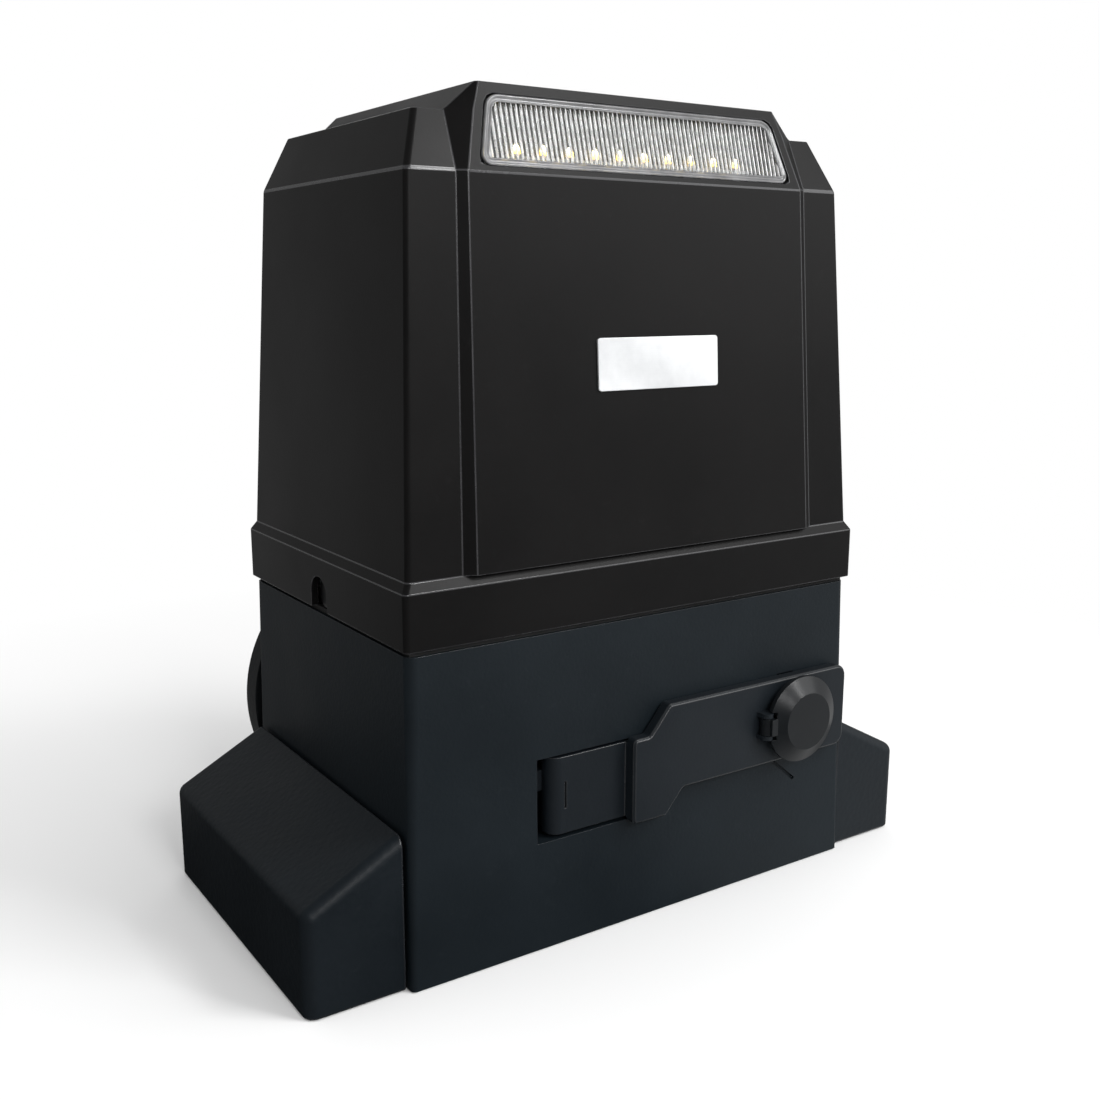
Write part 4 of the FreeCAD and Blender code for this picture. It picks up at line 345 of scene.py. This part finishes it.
def board_mask():
    """Green solder mask with copper tracks showing faintly through it."""
    made, tree, shader = blank("solder_mask")
    place = node(tree, "TexCoord").outputs["Object"]
    turn = node(tree, "Mapping", {"Vector": place, "Rotation": (math.radians(90), 0, 0)})
    brick = node(tree, "TexBrick", {"Vector": turn.outputs["Vector"], "Scale": 70.0, "Mortar Size": 0.09,
                                    "Mortar Smooth": 0.1, "Brick Width": 0.9, "Row Height": 0.34,
                                    "Color1": (0.004, 0.062, 0.026, 1), "Color2": (0.005, 0.075, 0.032, 1),
                                    "Mortar": (0.012, 0.135, 0.058, 1)})
    fine = node(tree, "TexNoise", {"Vector": place, "Scale": 900.0, "Detail": 2.0})
    shine = node(tree, "MapRange", {"Value": fine.outputs["Fac"], "To Min": 0.24, "To Max": 0.40})
    bump = node(tree, "Bump", {"Height": brick.outputs["Fac"], "Distance": 0.05 * MM, "Strength": 0.6})
    tree.links.new(brick.outputs["Color"], shader.inputs["Base Color"])
    tree.links.new(shine.outputs["Result"], shader.inputs["Roughness"])
    tree.links.new(bump.outputs["Normal"], shader.inputs["Normal"])
    return made


wear("control_board", board_mask())
wear("board_brackets", zinc)
wear("board_screws", zinc)
wear("terminal_blocks",
     skin("terminal_green", (0.010, 0.17, 0.06), (0.014, 0.21, 0.08), (0.36, 0.48), 0.03, patches=30.0))
wear("relays", skin("relay_blue", (0.010, 0.05, 0.20), (0.014, 0.065, 0.25), (0.26, 0.36), 0.02,
                    patches=30.0))

# ------------------------------------------------------------------ small parts on the board
# Electrolytic capacitors in dark sleeves with bare tops, three chips, a bank of code
# switches, three trimmers with white dials and a fuse, all soldered to the board's front.

board_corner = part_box("control_board")[0]


def small_parts(name, material, blocks=(), rounds=()):
    """Blocks and rounds standing out from the board, in mm from its lower left corner."""
    bm = bmesh.new()
    for x, z, wide, high, start, out in blocks:
        middle = board_corner + Vector((x + wide / 2, -start - out / 2, z + high / 2)) * MM
        extent = Matrix.Diagonal((wide * MM, out * MM, high * MM, 1))
        bmesh.ops.create_cube(bm, size=1.0, matrix=Matrix.Translation(middle) @ extent)
    for x, z, radius, start, out in rounds:
        middle = board_corner + Vector((x, -start - out / 2, z)) * MM
        bmesh.ops.create_cone(bm, cap_ends=True, segments=28, radius1=radius * MM, radius2=radius * MM,
                              depth=out * MM,
                              matrix=Matrix.Translation(middle) @ Matrix.Rotation(math.radians(90), 4, "X"))
    rims = [e for e in bm.edges if e.calc_face_angle(0) > 0.9]
    bmesh.ops.bevel(bm, geom=rims, offset=0.18 * MM, offset_type="OFFSET", segments=2, profile=0.5,
                    affect="EDGES", material=-1)
    for face in bm.faces:
        face.smooth = True
    piece = piece_from(bm, name, material)
    piece.data.set_sharp_from_angle(angle=math.radians(30))
    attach(piece, "base")


cans = ((14, 40, 5.0, 12), (29, 38, 4.0, 11), (142, 40, 5.0, 12), (129, 36, 3.2, 8), (14, 62, 4.0, 11),
        (142, 64, 4.0, 11))
small_parts("capacitor_sleeves", skin("sleeve_film", (0.008, 0.010, 0.028), (0.012, 0.015, 0.038),
                                      (0.20, 0.30), 0.02, patches=60.0),
            rounds=[(x, z, r, 0.0, out) for x, z, r, out in cans])
small_parts("capacitor_tops", metal("drawn_can_tops", (0.55, 0.56, 0.57), (0.68, 0.69, 0.70), (0.22, 0.36),
                                    across=(300.0, 300.0, 300.0)),
            rounds=[(x, z, r - 0.9, out - 0.2, 0.45) for x, z, r, out in cans])
small_parts("chips", skin("chip_resin", (0.012, 0.012, 0.013), (0.020, 0.020, 0.021), (0.38, 0.50), 0.05,
                          fine=1800.0),
            blocks=[(60, 35, 18, 8, 0.6, 2.6), (84, 36, 9, 5, 0.5, 1.6), (96, 36, 6, 5, 0.5, 1.6)])
small_parts("chip_legs", zinc,
            blocks=[(61 + 2 * step, z, 0.6, 1.4, 0.0, 1.6) for step in range(9) for z in (33.9, 42.7)]
            + [(85 + 1.9 * step, z, 0.5, 1.1, 0.0, 0.9) for step in range(8) for z in (35.2, 40.7)])
small_parts("code_switches", skin("switch_red", (0.26, 0.012, 0.010), (0.32, 0.018, 0.014), (0.30, 0.40),
                                  0.02, patches=30.0),
            blocks=[(106, 33, 16, 8, 0.0, 4.4)])
white = skin("switch_white", (0.55, 0.55, 0.54), (0.68, 0.68, 0.67), (0.30, 0.40), 0.02, patches=30.0)
small_parts("switch_sliders", white,
            blocks=[(107 + 2 * step, 36.5 + 1.6 * (step % 3 == 0), 1.0, 1.4, 4.2, 1.0) for step in range(7)])
small_parts("trimmers", skin("trimmer_blue", (0.010, 0.09, 0.30), (0.014, 0.11, 0.36), (0.26, 0.36), 0.02,
                             patches=30.0),
            blocks=[(38 + 7.5 * step, 34, 6, 7, 0.0, 4.6) for step in range(2)]
            + [(38, 60, 6, 7, 0.0, 4.6)])
small_parts("trimmer_dials", white, rounds=[(41 + 7.5 * step, 37.5, 2.1, 4.4, 0.8) for step in range(2)]
            + [(41, 63.5, 2.1, 4.4, 0.8)])
small_parts("fuse_clips", zinc, blocks=[(128, 76, 3, 7, 0.0, 6.5), (145, 76, 3, 7, 0.0, 6.5)])
small_parts("fuse", white, blocks=[(129, 77.5, 18, 4, 2.0, 4.0)])

# ------------------------------------------------------------------ lift-off cover
# The cover is one thin moulding in black ABS, satin on all its outer faces. Its edges are only just broken,
# a little more along the roof line, and catch the light as fine lines; their paler colour is partly wear and
# partly a painted highlight.

satin = skin("black_satin_plastic", (0.0040, 0.0039, 0.0040), (0.0060, 0.0057, 0.0057), (0.34, 0.42), 0.025,
             fine=1600.0, pits=900.0, pit_share=0.4, specular=0.125, dust=0.05)
cover_edge = worn_edge_with_painted_highlight("black_plastic_edge_wear_and_painted_highlight", (0.032, 0.032, 0.034))
roof_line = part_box("light_lens")[0].z - 2.0 * MM


def on_roof_line(e):
    """The edges where the walls break into the roof, on the front and the back."""
    level = all(abs(v.co.z - roof_line) < 1.2 * MM for v in e.verts)
    return level and abs(e.verts[0].co.y - e.verts[1].co.y) < 1.0 * MM


softened("cover_shell", "cover_moulding", "cover", satin, 0.7, angle=9, edge=cover_edge, merge=0.08,
         heavy=on_roof_line)

# ------------------------------------------------------------------ warning light
# A clear polycarbonate lens closes the light window: upright prism ribs inside a plain rim
# with a raised bead. Behind it a grey tray holds a strip of ten small white lamps.

clear, tree, glass = blank("clear_polycarbonate")
place = node(tree, "TexCoord").outputs["Object"]
haze = node(tree, "TexNoise", {"Vector": place, "Scale": 300.0, "Detail": 3.0})
rub = node(tree, "MapRange", {"Value": haze.outputs["Fac"], "From Min": 0.3, "From Max": 0.7,
                              "To Min": 0.05, "To Max": 0.13})
tree.links.new(rub.outputs["Result"], glass.inputs["Roughness"])
glass.inputs["Base Color"].default_value = (0.93, 0.94, 0.94, 1)
glass.inputs["Transmission Weight"].default_value = 1.0
glass.inputs["IOR"].default_value = 1.58

low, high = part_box("light_lens")
lens_thick, rim, rib_count, rib_deep = 2.6 * MM, 2.6 * MM, 66, 0.7 * MM
# Each rib's points, as shares of the ribs' pitch and of their depth.
points = ((0.0, 0.0), (0.12, 0.8), (0.26, 1.0), (0.40, 0.7))
head_share = 63.5 / 69.5  # the window is narrower at its head
wide_x, narrow_x, half_z = high.x, high.x * head_share, (high.z - low.z) / 2
lean = (high.y - lens_thick - low.y) / (high.z - low.z)
slope = Matrix.Translation((0, (low.y + high.y - lens_thick) / 2, (low.z + high.z) / 2)) @ Matrix((
    (1, 0, 0, 0), (0, 1, lean, 0), (0, 0, 1, 0), (0, 0, 0, 1)))

# The ribs: a flat valley and a raised prism by turns, cut off along the slanting ends.
bm = bmesh.new()
bmesh.ops.create_grid(bm, x_segments=rib_count * len(points), y_segments=1, size=0.5)
pitch = 2 * (wide_x - rim) / rib_count
for v in bm.verts:
    rib, point = divmod(round((v.co.x + 0.5) * rib_count * len(points)), len(points))
    across, up = points[point]
    v.co = Vector((rim - wide_x + (rib + across) * pitch, -rib_deep * up, v.co.y * 2 * (half_z - rim)))
for side in (-1, 1):
    foot, head = Vector((side * (wide_x - rim), 0, -half_z)), Vector((side * (narrow_x - rim), 0, half_z))
    along = head - foot
    bmesh.ops.bisect_plane(bm, geom=bm.verts[:] + bm.edges[:] + bm.faces[:], dist=1e-7, plane_co=foot,
                           plane_no=Vector((side * along.z, 0, -side * along.x)), clear_outer=True)
narrow_area = 0.2 * pitch * 2 * half_z  # only the faces along a rib's crest are smaller
for f in bm.faces:
    f.material_index = 1 if f.calc_center_median().y < -0.1 * MM and f.calc_area() < narrow_area else 0
back = bmesh.ops.extrude_face_region(bm, geom=bm.faces[:])["geom"]
for v in [g for g in back if isinstance(g, bmesh.types.BMVert)]:
    v.co.y = 0.5 * MM
bmesh.ops.translate(bm, verts=bm.verts, vec=(0, 1.1 * MM, 0))
bmesh.ops.transform(bm, matrix=slope, verts=bm.verts)
bmesh.ops.recalc_face_normals(bm, faces=bm.faces)
# The faces along each rib's crest take a pale, half-clear material: a painted highlight standing for the
# light that the clear prisms catch.
crest_highlight = skin("rib_crest_painted_highlight", (0.42, 0.42, 0.42), (0.86, 0.86, 0.86), (0.20, 0.34), 0.02, fine=1200.0,
               patches=260.0, specular=0.6, dust=0.0)
crest_highlight.node_tree.nodes["Principled BSDF"].inputs["Transmission Weight"].default_value = 0.35
lens_ribs = piece_from(bm, "light_lens_ribs", clear, crest_highlight)
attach(lens_ribs, "cover")

# The rim: a ring round the ribs with a raised bead along it and rounded corners.
bm = bmesh.new()
bmesh.ops.create_grid(bm, x_segments=1, y_segments=1, size=0.5)
for v in bm.verts:
    v.co = Vector((math.copysign(wide_x if v.co.y < 0 else narrow_x, v.co.x), 0.2 * MM,
                   math.copysign(half_z, v.co.y)))
bmesh.ops.bevel(bm, geom=bm.verts[:], offset=4.4 * MM, offset_type="OFFSET", segments=6, profile=0.5,
                affect="VERTICES", material=-1)
pane = bm.faces[:][0]
for thickness, height in ((0.3, -0.15), (0.5, -0.15), (0.3, 0.25), (0.7, 0.30), (0.3, 0.0), (0.3, 0.0),
                          (rim / MM - 2.4, 0.6)):
    bmesh.ops.inset_region(bm, faces=[pane], thickness=thickness * MM, use_boundary=True,
                           use_even_offset=True)
    for v in pane.verts:
        v.co.y = height * MM
bmesh.ops.delete(bm, geom=[pane], context="FACES_ONLY")
for f in bm.faces:
    f.smooth = True
ring = bmesh.ops.extrude_face_region(bm, geom=bm.faces[:])["geom"]
for v in [g for g in ring if isinstance(g, bmesh.types.BMVert)]:
    v.co.y = 1.9 * MM
bmesh.ops.transform(bm, matrix=slope, verts=bm.verts)
bmesh.ops.recalc_face_normals(bm, faces=bm.faces)
milky = skin("milky_rim", (0.16, 0.16, 0.165), (0.30, 0.30, 0.305), (0.10, 0.22), 0.02, fine=500.0,
             patches=90.0, specular=0.7, dust=0.0)
milky.node_tree.nodes["Principled BSDF"].inputs["Transmission Weight"].default_value = 0.45
lens_rim = piece_from(bm, "light_lens_rim", milky)
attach(lens_rim, "cover")
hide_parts("light_lens")

wear("light_tray", skin("grey_reflector", (0.020, 0.020, 0.021), (0.040, 0.040, 0.042), (0.30, 0.42), 0.02,
                        patches=24.0))
wear("light_board",
     skin("lamp_strip_white", (0.50, 0.50, 0.49), (0.62, 0.62, 0.61), (0.30, 0.42), 0.02, patches=50.0))

# Each lamp is a white ceramic block with a domed drop of yellow phosphor resin on it.
low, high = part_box("leds")
lamp_count, lamp_w, lamp_tall = 10, high.y - low.y, 1.0 * MM
middle_y = (low.y + high.y) / 2
bm = bmesh.new()
for i in range(lamp_count):
    x = low.x + lamp_w / 2 + i * (high.x - low.x - lamp_w) / (lamp_count - 1)
    block = bmesh.ops.create_cube(bm, size=1.0)["verts"]
    bmesh.ops.scale(bm, verts=block, vec=(lamp_w, lamp_w, lamp_tall))
    bmesh.ops.translate(bm, verts=block, vec=(x, middle_y, low.z + lamp_tall / 2))
    dome = bmesh.ops.create_uvsphere(bm, u_segments=14, v_segments=10, radius=1.45 * MM)["verts"]
    bmesh.ops.scale(bm, verts=dome, vec=(1, 1, 2.3))
    bmesh.ops.translate(bm, verts=dome, vec=(x, middle_y, low.z + lamp_tall))
    for f in {f for v in dome for f in v.link_faces}:
        f.material_index, f.smooth = 1, True
ceramic = skin("lamp_ceramic", (0.70, 0.70, 0.68), (0.80, 0.80, 0.78), (0.30, 0.42), 0.02, patches=80.0)
phosphor = skin("phosphor_yellow", (0.80, 0.52, 0.06), (0.95, 0.70, 0.16), (0.30, 0.42), 0.03,
                patches=300.0)
tree = phosphor.node_tree
glow = tree.nodes["Principled BSDF"]
rise = node(tree, "SeparateXYZ", {0: node(tree, "TexCoord").outputs["Object"]})
tip = node(tree, "MapRange",
           {"Value": rise.outputs["Z"], "From Min": high.z, "From Max": high.z + 2.2 * MM})
hue = node(tree, "Mix", {"Factor": tip.outputs["Result"], "A": (1.0, 0.66, 0.10, 1),
                         "B": (1.0, 0.93, 0.72, 1)},
           data_type="RGBA")
tree.links.new(hue.outputs["Result"], glow.inputs["Emission Color"])
glow.inputs["Emission Strength"].default_value = 7.0
lamps = piece_from(bm, "lamp_blocks", ceramic, phosphor)
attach(lamps, "cover")
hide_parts("leds")

# ------------------------------------------------------------------ badge plate
# A plain strip of brushed aluminium with rounded corners, stuck to the centre panel. It is
# left bare: its grain runs along it and its cut edges are bright.

brushed = metal("brushed_aluminium", (0.60, 0.61, 0.62), (0.84, 0.85, 0.86), (0.30, 0.46), depth=0.03,
                across=(25.0, 2600.0, 2600.0), stains=30.0)
brushed.node_tree.nodes["Principled BSDF"].inputs["Metallic"].default_value = 0.6
softened("badge_plate", "badge_blank", "cover", brushed, 0.18, segments=2)

# ------------------------------------------------------------------ foot covers
# Two hollow clips in black polypropylene over the anchoring flanges. The mould is spark
# eroded, so the skin is a coarse leathery matt.

leathery = skin("matt_grained_plastic", (0.0044, 0.0068, 0.0092), (0.0068, 0.0104, 0.0138), (0.42, 0.54),
                0.16,
                fine=900.0, pits=420.0, pit_share=0.65, specular=0.22, dust=0.06)
# The paler colour on the clips' rounded edges is partly wear and partly a painted highlight.
foot_edge = worn_edge_with_painted_highlight("grain_edge_wear_and_painted_highlight", (0.018, 0.020, 0.023))
softened("foot_cover_left", "left_foot_clip", "foot_left", leathery, 0.9, angle=40, edge=foot_edge)
softened("foot_cover_right", "right_foot_clip", "foot_right", leathery, 0.9, angle=40, edge=foot_edge)

# ------------------------------------------------------------------ release lever and lock
# The lever is a black glass-filled nylon moulding, matt, with its cam on the same hinge.
# A chromed lock with a brass plug sits in its free end under a hinged dust cap.

lever_black = skin("matt_black_nylon", (0.0060, 0.0084, 0.0110), (0.0092, 0.0124, 0.0158), (0.40, 0.50),
                   0.05, fine=1400.0,
                   pits=700.0, specular=0.22, dust=0.05)
# The paler colour on the lever's rounded edges is partly wear and partly a painted highlight.
lever_edge = worn_edge_with_painted_highlight("nylon_edge_wear_and_painted_highlight", (0.024, 0.026, 0.028))
softened("release_lever", "release_handle", "lever", lever_black, 0.6, edge=lever_edge)
wear("release_cam", lever_black)
wear("cap_hinge", lever_black)
wear("lock_body", metal("chromed_lock", (0.52, 0.52, 0.53), (0.64, 0.64, 0.65), (0.12, 0.24),
                        across=(40.0, 1500.0, 40.0)))
wear("lock_plug", metal("brass_plug", (0.56, 0.40, 0.16), (0.70, 0.52, 0.24), (0.22, 0.36),
                        across=(40.0, 1500.0, 40.0)))
softened("lock_cap", "dust_cap", "cap",
         skin("cap_black_nylon", (0.0048, 0.0058, 0.0068), (0.0076, 0.0090, 0.0104), (0.24, 0.34), 0.03,
              fine=1500.0, specular=0.30, dust=0.05), 0.40, angle=22)

# ------------------------------------------------------------------ drive train
# Steel shaft, keyed pinion and worm, a bronze worm wheel, a sliding clutch ring of hardened
# steel and the push rod inside the hollow shaft. Disc springs give way as the clutch moves.

wear("output_shaft", steel)
softened("drive_pinion", "rack_pinion", "output",
         metal("pinion_steel", (0.40, 0.40, 0.41), (0.54, 0.54, 0.55), (0.22, 0.38),
               across=(60.0, 1200.0, 60.0)), 0.25, segments=2)
wear("pinion_key", steel)
wear("pinion_bolt", zinc)
wear("worm_wheel", metal("gear_bronze", (0.55, 0.33, 0.12), (0.70, 0.45, 0.19), (0.22, 0.38),
                         across=(60.0, 1200.0, 60.0)))
wear("clutch_ring", metal("hardened_steel", (0.34, 0.34, 0.36), (0.46, 0.46, 0.48), (0.18, 0.32),
                          across=(60.0, 1200.0, 60.0)))
discs = softened("clutch_spring", "disc_springs", "output",
                 metal("spring_steel", (0.22, 0.22, 0.23), (0.34, 0.34, 0.35), (0.22, 0.36)), 0.1)
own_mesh(discs)
wear("push_rod", steel)
wear("cross_pin", steel)
wear("worm_shaft", metal("worm_steel", (0.44, 0.44, 0.45), (0.58, 0.58, 0.59), (0.16, 0.30),
                         across=(60.0, 60.0, 1200.0)))

# ------------------------------------------------------------------ floor, light and camera
# A pale floor under a white paper wall that hangs behind the object, in a dimmer room. Six
# soft lamps stand round it, most of them in front, with the camera at the cover's height.

wall_way = Vector((0.554, 0.833, 0.0))
right_way = Vector((0.80, -0.45, 0.42)).normalized()


def paper_share(tree, place):
    """How bright the room looks from the object: paper behind, dusk in front, light at the upper right."""
    way = node(tree, "VectorMath", {0: place}, operation="NORMALIZE")
    facing = node(tree, "VectorMath", {0: way.outputs["Vector"], 1: wall_way}, operation="DOT_PRODUCT")
    behind = node(tree, "MapRange",
                  {"Value": facing.outputs["Value"], "From Min": -0.05, "From Max": 0.55, "To Max": 0.34})
    sideways = node(tree, "VectorMath", {0: way.outputs["Vector"], 1: right_way}, operation="DOT_PRODUCT")
    beside = node(tree, "MapRange", {"Value": sideways.outputs["Value"], "From Min": 0.58,
                                     "From Max": 0.98, "To Min": 0.02, "To Max": 0.75})
    brighter = node(tree, "Math", {0: behind.outputs["Result"], 1: beside.outputs["Result"]},
                    operation="MAXIMUM")
    return brighter.outputs["Value"]


def rays(tree):
    """The kinds of ray that arrive, and whether the eye sees the surface directly or through the lens."""
    seen = node(tree, "LightPath").outputs
    direct = node(tree, "Math", {0: seen["Is Camera Ray"], 1: seen["Is Transmission Ray"]},
                  operation="MAXIMUM")
    return seen, direct.outputs["Value"]


bm = bmesh.new()
bmesh.ops.create_grid(bm, x_segments=2, y_segments=2, size=6.0)
paper, tree, shader = blank("pale_floor")
shader.inputs["Base Color"].default_value = (0.90, 0.90, 0.90, 1)
shader.inputs["Roughness"].default_value = 0.9
shader.inputs["Specular IOR Level"].default_value = 0.0
place = node(tree, "TexCoord").outputs["Object"]
reach = node(tree, "VectorMath", {0: place}, operation="LENGTH")
fade = node(tree, "MapRange", {"Value": reach.outputs["Value"], "From Min": 0.17, "From Max": 0.55})
seen, direct = rays(tree)
shown = node(tree, "Math", {0: direct, 1: seen["Is Glossy Ray"]}, operation="MAXIMUM")
faded = node(tree, "Math", {0: shown.outputs["Value"], 1: fade.outputs["Result"]}, operation="MULTIPLY")
part = node(tree, "Math", {0: faded.outputs["Value"], 1: seen["Is Glossy Ray"]}, operation="MAXIMUM")
strength = node(tree, "Math", {0: direct, 1: paper_share(tree, place)}, operation="MAXIMUM")
white = node(tree, "Emission", {"Color": (1, 1, 1, 1), "Strength": strength.outputs["Value"]})
mix = node(tree, "MixShader",
           {0: part.outputs["Value"], 1: shader.outputs["BSDF"], 2: white.outputs["Emission"]})
tree.links.new(mix.outputs["Shader"], tree.nodes["Material Output"].inputs["Surface"])
floor = piece_from(bm, "floor", paper)
floor.location.z = -0.4 * MM

world = bpy.data.worlds.new("white_paper_wall")
bpy.context.scene.world = world
world.use_nodes = True
tree = world.node_tree
seen, direct = rays(tree)
share = paper_share(tree, node(tree, "TexCoord").outputs["Generated"])
mirrored = node(tree, "Math", {0: seen["Is Glossy Ray"], 1: share}, operation="MULTIPLY")
soft = node(tree, "MapRange", {"Value": seen["Is Glossy Ray"], "To Min": 0.72, "To Max": 0.0})
both = node(tree, "Math", {0: mirrored.outputs["Value"], 1: soft.outputs["Result"]}, operation="ADD")
level = node(tree, "Math", {0: both.outputs["Value"], 1: direct}, operation="MAXIMUM")
tree.links.new(level.outputs["Value"], tree.nodes["Background"].inputs["Strength"])
tree.nodes["Background"].inputs["Color"].default_value = (1, 1, 1, 1)


def softbox(name, place, target, size, power):
    """A square lamp aimed at a point of the object."""
    data = bpy.data.lights.new(name, "AREA")
    data.shape, data.size, data.energy = "SQUARE", size, power
    lamp = bpy.data.objects.new(name, data)
    lamp.location = place
    lamp.rotation_euler = (Vector(target) - Vector(place)).to_track_quat("-Z", "Y").to_euler()
    bpy.context.scene.collection.objects.link(lamp)


softbox("right_softbox", (1.15, -1.10, 0.80), (0, 0, 0.18), 0.9, 5.0)
softbox("left_softbox", (-1.4, 0.3, 1.1), (0, 0, 0.15), 0.8, 0.8)
softbox("back_softbox", (0.75, 1.40, 0.60), (0, 0, 0.15), 0.8, 2.0)
softbox("roof_line_lamp", (0.61, -1.23, 0.93), (-0.08, -0.07, 0.28), 0.14, 3.0)
softbox("front_softbox", (-0.16, -1.40, 0.85), (0, 0, 0.10), 0.4, 8.0)
softbox("high_lamp", (0.74, -0.94, 1.36), (0, 0, 0.2), 0.45, 11.0)

view = bpy.data.cameras.new("camera")
view.lens, view.sensor_width = 40.5, 36.0
camera = bpy.data.objects.new("camera", view)
camera.location = (-0.28235, -0.42442, 0.24176)
tilt_down, turned_right = 11.9, 33.63
camera.rotation_euler = (math.radians(90 - tilt_down), 0, math.radians(-turned_right))
bpy.context.scene.collection.objects.link(camera)
bpy.context.scene.camera = camera
bpy.context.scene.view_settings.view_transform = "Standard"
